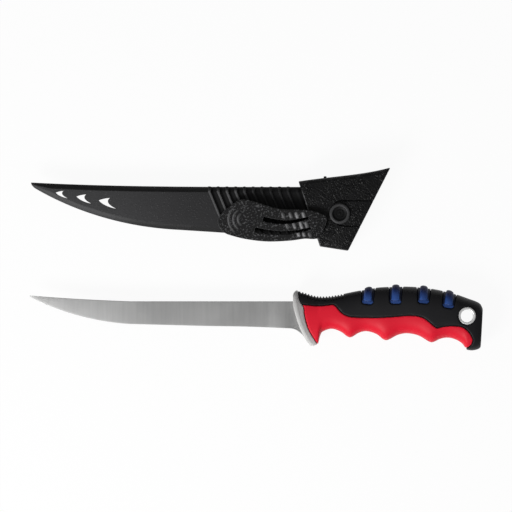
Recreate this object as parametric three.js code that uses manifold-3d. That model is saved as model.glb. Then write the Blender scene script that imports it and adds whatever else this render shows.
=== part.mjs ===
// A fillet knife for fishing, and the belt sheath that it is carried in.
// Millimetres, +Z up. Both lie on their sides with their tips towards -X, the sheath behind the knife.
// The knife's own origin is on its spine at the guard, the sheath's is on its back edge at the collar.

import * as THREE from 'three';
import { mergeVertices } from 'three/addons/utils/BufferGeometryUtils.js';
import Module from 'manifold-3d';

const wasm = await Module();
wasm.setup();

// Fits
const CLEARANCE = 0.3;
const GUARD_TO_SEAT = 0.4;
const BLADE_TIP_ROOM = 7.8;
const SPINE_TO_SCABBARD_BACK = 5.9;
const TIP_TO_SCABBARD_BACK = 5.0;
const FORE_EDGE_TO_SCABBARD_BELLY = 7.8;
const HEEL_TO_SCABBARD_BELLY = 10.1;
const BLADE_SIDE_ROOM = 2;
const GUARD_TO_COLLAR_BACK = 2.15;
const GUARD_TO_COLLAR_BELLY = 4.65;
const GUARD_SIDE_ROOM = 0.6;

// Blade and tang
const BLADE_LENGTH = 178;
const BLADE_HEEL_HEIGHT = 18.2;
const BLADE_FORE_HEIGHT = 15.3;
const BELLY_LENGTH = 68;
const TIP_RISE = 3.9;
const TIP_HEIGHT = 0.6;
const SPINE_BEND = [[0.4, 0.05], [0.75, 0.55]];
const BELLY_BEND = [[0.32, 0.06], [0.71, 0.42]];
const BLADE_THICKNESS = 2.0;
const TIP_THICKNESS = 1.2;
const EDGE_THICKNESS = 0.3;
const RICASSO_LENGTH = 4;
const PLUNGE_LENGTH = 6;
const CHOIL_REACH = 10;
const CHOIL_DROP = 9.4;
const CHOIL_CURVE = 2.2;
const TANG_HEIGHT = 10;
const TANG_BELOW_SPINE = 3.6;
const TANG_NOSE = 2.5;
const TANG_PEG_RADIUS = 2.2;
const TANG_PEG_PLACES = [36, 76];

// Guard
const GUARD_HALF_WIDTH = 11;
const GUARD_TOP = 7.5;
const GUARD_BOTTOM = -29.1;
const GUARD_SQUARENESS = 2.7;
const GUARD_FRONT = [
  [2.6, 8], [0.1, 5.4], [-0.3, 1.7], [0.3, -4.8], [2.3, -12.1], [4.7, -18.9], [8.4, -26.2], [14, -30.4],
];
const GUARD_BACK = [
  [3, 8], [3.2, 5], [3.5, 2], [4.6, -1.2], [6.1, -3.8], [6.8, -8.4], [7.6, -12.4], [9.8, -19],
  [13.6, -25.3], [17, -30.4],
];

// Handle, as stations along its length
const BACK_LINE = [
  [0, 7.5], [6.5, 6.05], [14.6, 3.45], [22, 3.05], [31, 4.2], [39, 6.15], [46, 7.55], [56, 9.5],
  [63, 9.95], [74, 10.1], [84, 9.75], [93, 8.05], [110, 3.95], [123.5, -0.45], [127.9, -5],
];
const BELLY_LINE = [
  [0, -29.45], [16, -28.5], [18, -22.9], [20.4, -19.9], [25.8, -18.35], [38.5, -23.85], [49.7, -19.85],
  [63.2, -25.85], [77.4, -21.35], [94, -27.35], [105.4, -24.35], [113, -27.85], [117, -32.45],
  [121.6, -33.25], [126, -31.85], [127.9, -28.5],
];
const HALF_WIDTH_LINE = [
  [0, 9.4], [20, 9.7], [40, 10.4], [56, 11.2], [85, 12.8], [105, 12.7], [122, 11], [127.9, 8.6],
];
const HANDLE_SQUARENESS = 2.7;
const BUTT_LEAN = 4.5;
const COVER_THICKNESS = 3;
const CORE_TO_EYELET = 3.4;
const CORE_BEYOND_TANG = 8;

// Finger grip, the line where it meets the back cover
const GRIP_EDGE_HEIGHT = -3;
const GRIP_SHOULDER = 27.6;
const GRIP_EDGE = [
  [29.4, -4.9], [31.9, -8.2], [34.6, -10.1], [38.5, -11.25], [48, -11.85], [63, -11.6], [82, -10.5],
  [88.6, -12.2], [95.2, -17.2], [97.6, -18.1], [104, -16.85], [112.9, -17.25], [118, -20.6],
  [120.8, -25.6], [120.2, -29.2], [116.8, -31.6],
];

// Thumb rest
const TOOTH_PITCH = 1.95;
const TOOTH_COUNT = 17;
const TOOTH_DEPTH = 0.7;
const FIRST_TOOTH = 6.4;

// Saddles on the back, each with its place, its turn in degrees and its drop
const LUG_PLACES = [[50.6, -4, 10.2], [69.2, -2, 11.6], [88.2, -2.5, 10.6], [105.2, -8, 10.5]];
const LUG_BASE = { crown: 9.2, foot: 8.4, lift: 0 };
const LUG_RIDGE = { crown: 5, foot: 7, lift: 0.9 };
const LUG_CORNER = 1.2;
const LUG_PROUD = 1.5;
const LUG_SUNK = 0.5;
const LUG_FLANK_PROUD = 0.7;
const LUG_CROWN_REACH = 2.9;
const LUG_FLANK_REACH = 6;
const LUG_DEPTH = 1.7;

// Lanyard eyelet
const EYELET_TO_BUTT = 10.8;
const EYELET_Y = -9.85;
const EYELET_HOLE_RADIUS = 4.3;
const EYELET_WALL = 0.6;
const EYELET_FLANGE_RADIUS = 5.9;
const EYELET_FLANGE = 0.9;
const EYELET_SUNK = 0.7;

// Scabbard
const SCABBARD_TIP_HALF = 2.8;
const SCABBARD_TIP_HEIGHT = 2.4;
const SCABBARD_WALL = 1.8;
const SCABBARD_TIP_WALL = 3.6;
const SCABBARD_SWEEP = 3.2;
const SCABBARD_BELLY_LENGTH = 100;
const SCABBARD_BEND = [[0.38, 0.06], [0.72, 0.43]];
const SCABBARD_CHAMFER = 3.3;
const SCABBARD_EDGE_HALF = 2.6;
const SCABBARD_LEAST_EDGE = 0.4;
const CHAMFER_SHARE = 0.36;
const CHAMFER_FOLLOW = 0.4;
const RIB_COUNT = 10;
const RIB_PITCH = 5.9;
const RIB_WIDTH = 2;
const RIB_HEIGHT = 0.7;
const LAST_RIB = -6.4;
const DRAIN_PLACES = [[20.6, -5.75, 8], [35.6, -8.85, 10], [51.4, -11.85, 11.6]];
const DRAIN_FIN = { nose: [-0.5, 0.24], horn: [0.15, 0.38], tail: [0.5, -0.24] };
const DRAIN_BENDS = { back: [-0.2, 0.36], hollow: [-0.2, 0.1], belly: [-0.2, -0.1] };

// Collar
const COLLAR_SLANT = 18.4;
const COLLAR_BACK_LENGTH = 61.4;
const COLLAR_BACK_RISE = 8.9;
const COLLAR_BACK_SAG = 1.2;
const COLLAR_BELLY_LENGTH = 19.5;
const COLLAR_BELLY_FALL = 2.9;
const COLLAR_WALL = 1.9;
const COLLAR_SEAT = 3.4;
const COLLAR_ROUNDING = 3.2;

// Retention tongue and its button
const TONGUE_TOP = -9.85;
const TONGUE_BOTTOM = -26.15;
const TONGUE_ROOT = 20.2;
const TONGUE_NOSE_PLACE = 33;
const TONGUE_NOSE_WIDTH = 2.4;
const TONGUE_NOSE_LENGTH = 9;
const TONGUE_NOSE_HEIGHT = 0.8;
const BUTTON_X = 27.7;
const BUTTON_Y = -18.05;
const BUTTON_RADIUS = 7;
const BUTTON_DISH_RADIUS = 4.7;
const BUTTON_HEIGHT = 1.6;
const BUTTON_SHOULDER = 0.8;
const BUTTON_DISH_SLOPE = 0.5;
const BUTTON_FLOOR = 0.6;
const BUTTON_DOT_RADIUS = 0.6;
const BUTTON_DOT_HEIGHT = 0.35;

// Belt clip
const CLIP_THICKNESS = 2.6;
const CLIP_PAD = 1.0;
const CLIP_PAD_INSET = 1.2;
const CLIP_HINGE = 10;
const CLIP_TIP_GAP = 1.2;
const CLIP_OUTLINE = [
  [-54.8, -21.65], [-51.6, -30.05], [-41.6, -33.95], [-30, -35.95], [-19, -36.45], [-5.5, -35.75],
  [4, -34.45], [12, -34.25], [16, -30.15], [19, -21.65], [15.3, -17.95], [8, -15.65], [-1, -15.35],
  [-11.7, -14.25], [-20.8, -11.55], [-29.8, -8.85], [-37, -7.95], [-42.5, -8.85], [-48, -12.95],
];
const CLIP_SLOT_WIDTH = 1.6;
const CLIP_SLOT_TAPER = 0.55;
const CLIP_SLOTS = [
  [[-24, -21.55], [-16, -23.25], [-8.2, -23.75], [-0.9, -22.85], [7, -20.65]],
  [[-29.8, -28.65], [-21, -30.35], [-11.7, -30.95], [-0.9, -30.05], [8.6, -27.85]],
];

// How the two lie
const KNIFE_TO_SHEATH = 77.2;
const KNIFE_SET_BACK = 3.5;

// Detail of the curved faces
const HANDLE_STEP = 3.2;
const CORE_STEP = 6;
const OVAL_POINTS = 20;
const SMALL_ROUND = 24;
const ROUNDING_STEPS = 3;
const BELLY_STEP = 4;
const EDGE_STEP = 25;
const PLUNGE_STEP = 1.5;
const SCABBARD_TIP_STEP = 5;
const SCABBARD_STEP = 20;
const COLLAR_STEP = 8;
const LUG_STEP = 0.8;
const GUARD_POINTS = 20;
const GRIP_EDGE_POINTS = 48;
const CLIP_POINTS = 72;
const CLIP_SLOT_POINTS = 14;
const DRAIN_POINTS = 5;
const HALVINGS = 40;
const MITRE_LIMIT = 0.4;
const SAME_POINT = 1e-5;
const OVERRUN = 1;
const FAR = 300;

// Finishes
const FINISHES = {
  steel: new THREE.MeshStandardMaterial({ color: 0xa6a6a4, roughness: 0.38, metalness: 1 }),
  guard: new THREE.MeshStandardMaterial({ color: 0xb4b4b2, roughness: 0.5, metalness: 0.1 }),
  core: new THREE.MeshStandardMaterial({ color: 0x2a2a2c, roughness: 0.6, metalness: 0 }),
  black: new THREE.MeshStandardMaterial({ color: 0x1b1b1d, roughness: 0.6, metalness: 0 }),
  red: new THREE.MeshStandardMaterial({ color: 0xd6202f, roughness: 0.55, metalness: 0 }),
  blue: new THREE.MeshStandardMaterial({ color: 0x1c2f80, roughness: 0.35, metalness: 0 }),
  eyelet: new THREE.MeshStandardMaterial({ color: 0xa9a9a9, roughness: 0.45, metalness: 0.6 }),
  sheath: new THREE.MeshStandardMaterial({ color: 0x232325, roughness: 0.65, metalness: 0 }),
};

// Solids, joined and cut
function solidOf(geometry) {
  const bare = geometry.clone();
  bare.deleteAttribute('normal');
  bare.deleteAttribute('uv');
  const merged = mergeVertices(bare, SAME_POINT);
  const vertProperties = Float32Array.from(merged.attributes.position.array);
  const triVerts = Uint32Array.from(merged.index.array);
  return new wasm.Manifold(new wasm.Mesh({ numProp: 3, vertProperties, triVerts }));
}

function geometryOf(solid) {
  const mesh = solid.getMesh();
  const geometry = new THREE.BufferGeometry();
  geometry.setAttribute('position', new THREE.BufferAttribute(Float32Array.from(mesh.vertProperties), 3));
  geometry.setIndex(Array.from(mesh.triVerts));
  geometry.computeVertexNormals();
  return geometry;
}

function piece(name, solid, finish) {
  const mesh = new THREE.Mesh(geometryOf(solid), finish);
  mesh.name = name;
  return mesh;
}

// A flat outline given thickness along Z.
function prism(points, bottom, top) {
  const shape = new THREE.Shape(points.map(([x, y]) => new THREE.Vector2(x, y)));
  const geometry = new THREE.ExtrudeGeometry(shape, { depth: top - bottom, bevelEnabled: false });
  geometry.translate(0, 0, bottom);
  return solidOf(geometry);
}

// The same with its edges rounded off.
function roundedPrism(points, half, rounding) {
  const shape = new THREE.Shape(points.map(([x, y]) => new THREE.Vector2(x, y)));
  const geometry = new THREE.ExtrudeGeometry(shape, {
    depth: 2 * (half - rounding),
    bevelThickness: rounding,
    bevelSize: rounding,
    bevelOffset: -rounding,
    bevelSegments: ROUNDING_STEPS,
  });
  geometry.translate(0, 0, rounding - half);
  return solidOf(geometry);
}

function cylinder(radius, x, y, bottom, top) {
  const geometry = new THREE.CylinderGeometry(radius, radius, top - bottom, SMALL_ROUND);
  geometry.rotateX(Math.PI / 2);
  geometry.translate(x, y, (top + bottom) / 2);
  return solidOf(geometry);
}

// A skin over rings of points that follow each other along X, closed at both ends.
function loft(rings) {
  const count = rings[0].length;
  const positions = rings.flat(2);
  const index = [];
  for (let i = 0; i + 1 < rings.length; i += 1) {
    for (let j = 0; j < count; j += 1) {
      const next = (j + 1) % count;
      const a = i * count + j;
      const b = i * count + next;
      const c = (i + 1) * count + next;
      const d = (i + 1) * count + j;
      index.push(a, b, d, b, c, d);
    }
  }
  const last = (rings.length - 1) * count;
  for (let j = 1; j + 1 < count; j += 1) {
    index.push(0, j + 1, j);
    index.push(last, last + j, last + j + 1);
  }
  const geometry = new THREE.BufferGeometry();
  geometry.setAttribute('position', new THREE.Float32BufferAttribute(positions, 3));
  geometry.setIndex(index);
  return solidOf(geometry);
}

// A smooth value along X through a few stations.
function along(stations) {
  const slopes = stations.map((_, i) => {
    const before = stations[Math.max(i - 1, 0)];
    const after = stations[Math.min(i + 1, stations.length - 1)];
    return (after[1] - before[1]) / (after[0] - before[0]);
  });
  return (x) => {
    let i = 0;
    while (i < stations.length - 2 && x > stations[i + 1][0]) {
      i += 1;
    }
    const [x0, y0] = stations[i];
    const [x1, y1] = stations[i + 1];
    const t = THREE.MathUtils.clamp((x - x0) / (x1 - x0), 0, 1);
    const ease = t * t * (3 - 2 * t);
    const lead = t * (1 - t) ** 2 * slopes[i] - t * t * (1 - t) * slopes[i + 1];
    return y0 + (y1 - y0) * ease + (x1 - x0) * lead;
  };
}

function steps(from, to, step) {
  const count = Math.max(1, Math.round((to - from) / step));
  return Array.from({ length: count + 1 }, (_, i) => from + ((to - from) * i) / count);
}

// Smooth points through a few, open or closed.
function smooth(points, count, closed = false) {
  const nodes = points.map(([x, y]) => new THREE.Vector3(x, y, 0));
  const curve = new THREE.CatmullRomCurve3(nodes, closed, 'catmullrom', 0.5);
  const list = curve.getPoints(count).map((p) => [p.x, p.y]);
  return closed ? list.slice(0, -1) : list;
}

// An outline, listed anticlockwise, moved outwards by a distance.
function grown(points, distance) {
  const shared = points.length;
  return points.map((point, i) => {
    const before = points[(i + shared - 1) % shared];
    const after = points[(i + 1) % shared];
    const first = new THREE.Vector2(point[1] - before[1], before[0] - point[0]).normalize();
    const second = new THREE.Vector2(after[1] - point[1], point[0] - after[0]).normalize();
    const middle = first.clone().add(second).normalize();
    const reach = distance / Math.max(MITRE_LIMIT, middle.dot(first));
    return [point[0] + middle.x * reach, point[1] + middle.y * reach];
  });
}

// Knife: where the eyelet, the core and the tang end, counted back from the butt
const HANDLE_LENGTH = BACK_LINE[BACK_LINE.length - 1][0];
const EYELET_X = HANDLE_LENGTH - EYELET_TO_BUTT;
const EYELET_TUBE_RADIUS = EYELET_HOLE_RADIUS + EYELET_WALL;
const CORE_END = EYELET_X - EYELET_TUBE_RADIUS - CORE_TO_EYELET;
const TANG_LENGTH = CORE_END - CORE_BEYOND_TANG;

// The guard's two faces, and what lies behind each
const guardFront = smooth(GUARD_FRONT, GUARD_POINTS);
const guardBack = smooth(GUARD_BACK, GUARD_POINTS);

function behind(line, shift) {
  const moved = line.map(([x, y]) => [x + shift, y]);
  const top = moved[0];
  const bottom = moved[moved.length - 1];
  return prism([[FAR, FAR], [top[0], FAR], ...moved, [bottom[0], -FAR], [FAR, -FAR]], -FAR, FAR);
}

const behindGuardFront = behind(guardFront, -CLEARANCE);
const behindGuardBack = behind(guardBack, CLEARANCE);

// The tang's side outline, grown where a slot takes it
function tangOutline(room) {
  const top = -TANG_BELOW_SPINE + room;
  const bottom = -TANG_BELOW_SPINE - TANG_HEIGHT - room;
  const end = TANG_LENGTH + room;
  const front = -RICASSO_LENGTH / 2;
  const shoulder = end - TANG_NOSE;
  return [[front, bottom], [shoulder, bottom], [end, bottom + TANG_NOSE], [end, top - TANG_NOSE],
    [shoulder, top], [front, top]];
}

function tangSlot() {
  const half = BLADE_THICKNESS / 2 + CLEARANCE;
  return prism(tangOutline(CLEARANCE), -half, half);
}

function tangPegs(radius, half) {
  const middle = -TANG_BELOW_SPINE - TANG_HEIGHT / 2;
  return TANG_PEG_PLACES.map((x) => cylinder(radius, x, middle, -half, half));
}

// A curve from one point to another, bent towards two points given as shares of its length and rise
function swept(from, to, bends) {
  const points = [from, ...bends.map(([u, v]) => [
    THREE.MathUtils.lerp(from[0], to[0], u),
    THREE.MathUtils.lerp(from[1], to[1], v),
  ]), to];
  return new THREE.CubicBezierCurve(...points.map(([x, y]) => new THREE.Vector2(x, y)));
}

// Blade: flat ground, thinning to the tip, with a full-thickness ricasso at the guard
const BELLY_START = BELLY_LENGTH - BLADE_LENGTH;
const bladeSpine = swept([BELLY_START, 0], [-BLADE_LENGTH, TIP_RISE], SPINE_BEND);
const bladeBelly = swept(
  [BELLY_START, -BLADE_FORE_HEIGHT],
  [-BLADE_LENGTH, TIP_RISE - TIP_HEIGHT],
  BELLY_BEND,
);

// The curve's height at a place along X, found by halving.
function heightAt(curve, x) {
  let low = 0;
  let high = 1;
  for (let i = 0; i < HALVINGS; i += 1) {
    const middle = (low + high) / 2;
    if (curve.getPoint(middle).x > x) {
      low = middle;
    } else {
      high = middle;
    }
  }
  return curve.getPoint(low).y;
}

const bladeEdge = along([
  [BELLY_START, -BLADE_FORE_HEIGHT],
  [-BLADE_LENGTH / 3, -(BLADE_FORE_HEIGHT + BLADE_HEEL_HEIGHT) / 2],
  [-RICASSO_LENGTH, -BLADE_HEEL_HEIGHT],
]);

// The edge line, and the choil that sweeps down to the guard behind it
function bladeBottom(x) {
  if (x < BELLY_START) {
    return heightAt(bladeBelly, x);
  }
  const choil = THREE.MathUtils.clamp((x + RICASSO_LENGTH) / (CHOIL_REACH + RICASSO_LENGTH), 0, 1);
  return bladeEdge(x) - CHOIL_DROP * choil ** CHOIL_CURVE;
}

function bladeSection(x) {
  const top = x < BELLY_START ? heightAt(bladeSpine, x) : 0;
  const bottom = bladeBottom(x);
  const taper = THREE.MathUtils.smoothstep(-x, 0, BLADE_LENGTH);
  const spine = THREE.MathUtils.lerp(BLADE_THICKNESS, TIP_THICKNESS, taper) / 2;
  const ground = THREE.MathUtils.smoothstep(-x, RICASSO_LENGTH, RICASSO_LENGTH + PLUNGE_LENGTH);
  const edge = THREE.MathUtils.lerp(spine, EDGE_THICKNESS / 2, ground);
  return [[x, top, -spine], [x, top, spine], [x, bottom, edge], [x, bottom, -edge]];
}

function blade() {
  const plungeStart = -RICASSO_LENGTH - PLUNGE_LENGTH;
  const places = [
    ...steps(-BLADE_LENGTH, BELLY_START, BELLY_STEP),
    ...steps(BELLY_START, plungeStart, EDGE_STEP).slice(1),
    ...steps(plungeStart, CHOIL_REACH, PLUNGE_STEP).slice(1),
  ];
  const whole = loft(places.map(bladeSection)).subtract(behindGuardFront);
  const tang = prism(tangOutline(0), -BLADE_THICKNESS / 2, BLADE_THICKNESS / 2);
  const holes = tangPegs(TANG_PEG_RADIUS + CLEARANCE, BLADE_THICKNESS);
  return holes.reduce((solid, hole) => solid.subtract(hole), whole.add(tang));
}

// Oval rings for the guard and the handle
function oval(x, top, bottom, half, squareness) {
  const centre = (top + bottom) / 2;
  const tall = (top - bottom) / 2;
  return Array.from({ length: OVAL_POINTS }, (_, i) => {
    const angle = (2 * Math.PI * i) / OVAL_POINTS;
    const c = Math.cos(angle);
    const s = Math.sin(angle);
    const y = centre + tall * Math.sign(c) * Math.abs(c) ** (2 / squareness);
    return [x, y, half * Math.sign(s) * Math.abs(s) ** (2 / squareness)];
  });
}

function guard() {
  const ring = (x) => oval(x, GUARD_TOP, GUARD_BOTTOM, GUARD_HALF_WIDTH, GUARD_SQUARENESS);
  const body = loft([ring(-GUARD_HALF_WIDTH), ring(HANDLE_LENGTH / 2)]);
  return body.intersect(behind(guardFront, 0)).subtract(behind(guardBack, 0)).subtract(tangSlot());
}

// Handle: one smooth volume, shared by the core, the back cover, the finger grip and the saddles
const backLine = along(BACK_LINE);
const bellyLine = along(BELLY_LINE);
const halfWidthLine = along(HALF_WIDTH_LINE);

// The depth is how far its skin lies inside the handle's own, on the back and flanks, and on the belly.
function handleVolume(depth, bellyDepth, to, step) {
  const rings = steps(0, to, step).map((x) => {
    const top = backLine(x) - depth;
    const bottom = bellyLine(x) + bellyDepth;
    return oval(x, top, bottom, halfWidthLine(x) - depth, HANDLE_SQUARENESS);
  });
  return loft(rings);
}

function coreVolume(depth, to) {
  return handleVolume(depth, depth, to, CORE_STEP);
}

// What lies past the leaning butt
function pastButt() {
  const lean = Math.tan(THREE.MathUtils.degToRad(BUTT_LEAN));
  const at = (y) => [HANDLE_LENGTH + (y - backLine(HANDLE_LENGTH)) * lean, y];
  return prism([at(-FAR), [FAR * 2, -FAR], [FAR * 2, FAR], at(FAR)], -FAR, FAR);
}

const handleWhole = handleVolume(0, 0, HANDLE_LENGTH, HANDLE_STEP).subtract(pastButt());
const handleOuter = handleWhole.intersect(behindGuardBack);
const coreRoom = coreVolume(COVER_THICKNESS, CORE_END + CLEARANCE);

function handleCore() {
  const body = coreVolume(COVER_THICKNESS + CLEARANCE, CORE_END).intersect(behindGuardBack);
  const pegs = tangPegs(TANG_PEG_RADIUS, BLADE_THICKNESS);
  return pegs.reduce((solid, peg) => solid.add(peg), body.subtract(tangSlot()));
}

// The finger grip's side outline, listed anticlockwise
function gripOutline() {
  const edge = smooth([[GRIP_SHOULDER, GRIP_EDGE_HEIGHT], ...GRIP_EDGE], GRIP_EDGE_POINTS);
  const end = GRIP_EDGE[GRIP_EDGE.length - 1][0];
  return [[-FAR, -FAR], [end, -FAR], ...edge.reverse(), [-FAR, GRIP_EDGE_HEIGHT]];
}

function fingerGrip() {
  return handleOuter.intersect(prism(gripOutline(), -FAR, FAR)).subtract(coreRoom);
}

// A saddle is a base let into the cover, with a ridge on it that widens to its foot.
// This is the side outline of either, about the place where it crosses the back line.
function lugOutline([x, turn, drop], { crown, foot, lift }, room) {
  const rise = LUG_PROUD + LUG_DEPTH;
  const bottom = lift - drop;
  const angle = THREE.MathUtils.degToRad(turn);
  const right = [
    [foot / 2 - LUG_CORNER, bottom], [foot / 2, bottom + LUG_CORNER], [crown / 2, 0], [crown / 2, rise],
  ];
  const left = right.map(([u, v]) => [-u, v]).reverse();
  return grown([...right, ...left], room).map(([u, v]) => [
    x + u * Math.cos(angle) - v * Math.sin(angle),
    backLine(x) + u * Math.sin(angle) + v * Math.cos(angle),
  ]);
}

// A round swell over a place, from 1 in the middle to 0 at its reach
function swell(distance, reach) {
  return Math.sqrt(Math.max(0, 1 - (distance / reach) ** 2));
}

// The ridge's skin stands proud of the handle, and falls away at its two sides.
function lugCrown([place]) {
  const rings = steps(place - LUG_FLANK_REACH, place + LUG_FLANK_REACH, LUG_STEP).map((x) => {
    const crown = (LUG_PROUD + LUG_SUNK) * swell(x - place, LUG_CROWN_REACH) - LUG_SUNK;
    const half = halfWidthLine(x) + LUG_FLANK_PROUD * swell(x - place, LUG_FLANK_REACH);
    return oval(x, backLine(x) + crown, bellyLine(x), half, HANDLE_SQUARENESS);
  });
  return loft(rings);
}

function gripLug(place) {
  const baseSkin = handleVolume(LUG_SUNK, 0, HANDLE_LENGTH, HANDLE_STEP);
  const base = baseSkin.intersect(prism(lugOutline(place, LUG_BASE, 0), -FAR, FAR));
  const ridge = lugCrown(place).intersect(prism(lugOutline(place, LUG_RIDGE, 0), -FAR, FAR));
  return base.add(ridge).subtract(handleVolume(LUG_DEPTH - CLEARANCE, 0, HANDLE_LENGTH, HANDLE_STEP));
}

function lugPocket(place) {
  const bed = handleVolume(LUG_DEPTH, 0, HANDLE_LENGTH, HANDLE_STEP);
  return prism(lugOutline(place, LUG_BASE, CLEARANCE), -FAR, FAR).subtract(bed);
}

// Notches across the back that leave the thumb rest's teeth
function thumbRestNotches() {
  return Array.from({ length: TOOTH_COUNT }, (_, i) => {
    const x = FIRST_TOOTH + i * TOOTH_PITCH;
    const y = backLine(x);
    const half = TOOTH_PITCH / 2;
    const notch = [[x, y - TOOTH_DEPTH], [x + half, y + TOOTH_DEPTH], [x - half, y + TOOTH_DEPTH]];
    return prism(notch, -GUARD_HALF_WIDTH, GUARD_HALF_WIDTH);
  });
}

// Lanyard eyelet: a tube with a flange on the near side, and a washer on the far side
const EYELET_HALF_LENGTH = halfWidthLine(EYELET_X) - EYELET_SUNK;

function eyeletBore() {
  const floor = EYELET_HALF_LENGTH - EYELET_FLANGE - CLEARANCE;
  const seat = EYELET_FLANGE_RADIUS + CLEARANCE;
  const near = cylinder(seat, EYELET_X, EYELET_Y, floor, FAR);
  const far = cylinder(seat, EYELET_X, EYELET_Y, -FAR, -floor);
  return cylinder(EYELET_TUBE_RADIUS + CLEARANCE, EYELET_X, EYELET_Y, -FAR, FAR).add(near).add(far);
}

function lanyardEyelet() {
  const half = EYELET_HALF_LENGTH;
  const tube = cylinder(EYELET_TUBE_RADIUS, EYELET_X, EYELET_Y, -half, half);
  const flange = cylinder(EYELET_FLANGE_RADIUS, EYELET_X, EYELET_Y, half - EYELET_FLANGE, half);
  return tube.add(flange).subtract(cylinder(EYELET_HOLE_RADIUS, EYELET_X, EYELET_Y, -FAR, FAR));
}

function eyeletWasher() {
  const half = EYELET_HALF_LENGTH;
  const ring = cylinder(EYELET_FLANGE_RADIUS, EYELET_X, EYELET_Y, -half, EYELET_FLANGE - half);
  return ring.subtract(cylinder(EYELET_TUBE_RADIUS + CLEARANCE, EYELET_X, EYELET_Y, -FAR, FAR));
}

function backCover() {
  const gripRoom = prism(grown(gripOutline(), CLEARANCE), -FAR, FAR);
  const cuts = [gripRoom, coreRoom, eyeletBore(), ...LUG_PLACES.map(lugPocket), ...thumbRestNotches()];
  return cuts.reduce((solid, cut) => solid.subtract(cut), handleOuter);
}

function knife() {
  const group = new THREE.Group();
  group.add(piece('blade', blade(), FINISHES.steel));
  group.add(piece('guard', guard(), FINISHES.guard));
  group.add(piece('handle_core', handleCore(), FINISHES.core));
  group.add(piece('back_cover', backCover(), FINISHES.black));
  group.add(piece('finger_grip', fingerGrip(), FINISHES.red));
  LUG_PLACES.forEach((place, i) => {
    group.add(piece(`grip_lug_${i + 1}`, gripLug(place), FINISHES.blue));
  });
  group.add(piece('lanyard_eyelet', lanyardEyelet(), FINISHES.eyelet));
  group.add(piece('eyelet_washer', eyeletWasher(), FINISHES.eyelet));
  return group;
}

// Sheath: where the sheathed knife lies in it
const slantAngle = THREE.MathUtils.degToRad(COLLAR_SLANT);
const SLANT = Math.tan(slantAngle);
const COLLAR_TOP = GUARD_TOP - SPINE_TO_SCABBARD_BACK + GUARD_TO_COLLAR_BACK;
const COLLAR_BOTTOM = GUARD_BOTTOM - SPINE_TO_SCABBARD_BACK - GUARD_TO_COLLAR_BELLY;
const seatAt = (y) => (COLLAR_TOP - y) * SLANT + COLLAR_SEAT / Math.cos(slantAngle);
const seatToGuard = guardFront.map(([x, y]) => seatAt(y - SPINE_TO_SCABBARD_BACK) - x);
const SEATED_GUARD = Math.max(...seatToGuard) + GUARD_TO_SEAT;
const SCABBARD_TIP = SEATED_GUARD - BLADE_LENGTH - BLADE_TIP_ROOM - SCABBARD_TIP_WALL;
const SCABBARD_HALF = BLADE_THICKNESS / 2 + BLADE_SIDE_ROOM + SCABBARD_WALL;
const SCABBARD_TIP_RISE = TIP_RISE - SPINE_TO_SCABBARD_BACK + TIP_TO_SCABBARD_BACK;
const SCABBARD_FORE_HEIGHT = SPINE_TO_SCABBARD_BACK + BLADE_FORE_HEIGHT + FORE_EDGE_TO_SCABBARD_BELLY;
const SCABBARD_MOUTH_HEIGHT = SPINE_TO_SCABBARD_BACK + BLADE_HEEL_HEIGHT + HEEL_TO_SCABBARD_BELLY;
const COLLAR_HALF = GUARD_HALF_WIDTH + GUARD_SIDE_ROOM + COLLAR_WALL;
const COLLAR_BACK_LEFT = [0, COLLAR_TOP];
const COLLAR_BACK_RIGHT = [COLLAR_BACK_LENGTH, COLLAR_TOP + COLLAR_BACK_RISE];
const COLLAR_BELLY_LEFT = [(COLLAR_TOP - COLLAR_BOTTOM) * SLANT, COLLAR_BOTTOM];
const COLLAR_BELLY_RIGHT = [COLLAR_BELLY_LEFT[0] + COLLAR_BELLY_LENGTH, COLLAR_BOTTOM - COLLAR_BELLY_FALL];

const SCABBARD_BELLY_START = SCABBARD_TIP + SCABBARD_BELLY_LENGTH;
const SCABBARD_END = COLLAR_BELLY_LEFT[0] + COLLAR_SEAT * 3;

const scabbardBelly = swept(
  [SCABBARD_BELLY_START, -SCABBARD_FORE_HEIGHT],
  [SCABBARD_TIP, SCABBARD_TIP_RISE - SCABBARD_TIP_HEIGHT],
  SCABBARD_BEND,
);

function scabbardBack(x) {
  const toTip = THREE.MathUtils.clamp(x / SCABBARD_TIP, 0, 1);
  return SCABBARD_TIP_RISE * toTip ** SCABBARD_SWEEP;
}

function scabbardEdge(x) {
  if (x < SCABBARD_BELLY_START) {
    return heightAt(scabbardBelly, x);
  }
  const slope = (SCABBARD_MOUTH_HEIGHT - SCABBARD_FORE_HEIGHT) / -SCABBARD_BELLY_START;
  return -SCABBARD_FORE_HEIGHT - slope * (x - SCABBARD_BELLY_START);
}

// A chamfered section. The room is positive outwards, negative for the hollow inside.
function scabbardSection(x, room) {
  const top = scabbardBack(x) + room;
  const bottom = scabbardEdge(x) - room;
  const nearTip = THREE.MathUtils.smoothstep(x, SCABBARD_TIP, SCABBARD_BELLY_START);
  const half = THREE.MathUtils.lerp(SCABBARD_TIP_HALF, SCABBARD_HALF, nearTip) + room;
  const follow = room * CHAMFER_FOLLOW;
  const edge = Math.max(SCABBARD_LEAST_EDGE, (half * SCABBARD_EDGE_HALF) / SCABBARD_HALF + follow);
  const chamfer = Math.min(SCABBARD_CHAMFER + follow, (top - bottom) * CHAMFER_SHARE);
  const flank = [[top, edge], [top - chamfer, half], [bottom + chamfer, half], [bottom, edge]];
  const near = flank.map(([y, z]) => [x, y, z]);
  const far = flank.map(([y, z]) => [x, y, -z]).reverse();
  return [...near, ...far];
}

function scabbardVolume(room, from, to) {
  const places = [
    ...steps(from, SCABBARD_BELLY_START, SCABBARD_TIP_STEP),
    ...steps(SCABBARD_BELLY_START, to, SCABBARD_STEP).slice(1),
  ];
  return loft(places.map((x) => scabbardSection(x, room)));
}

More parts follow.
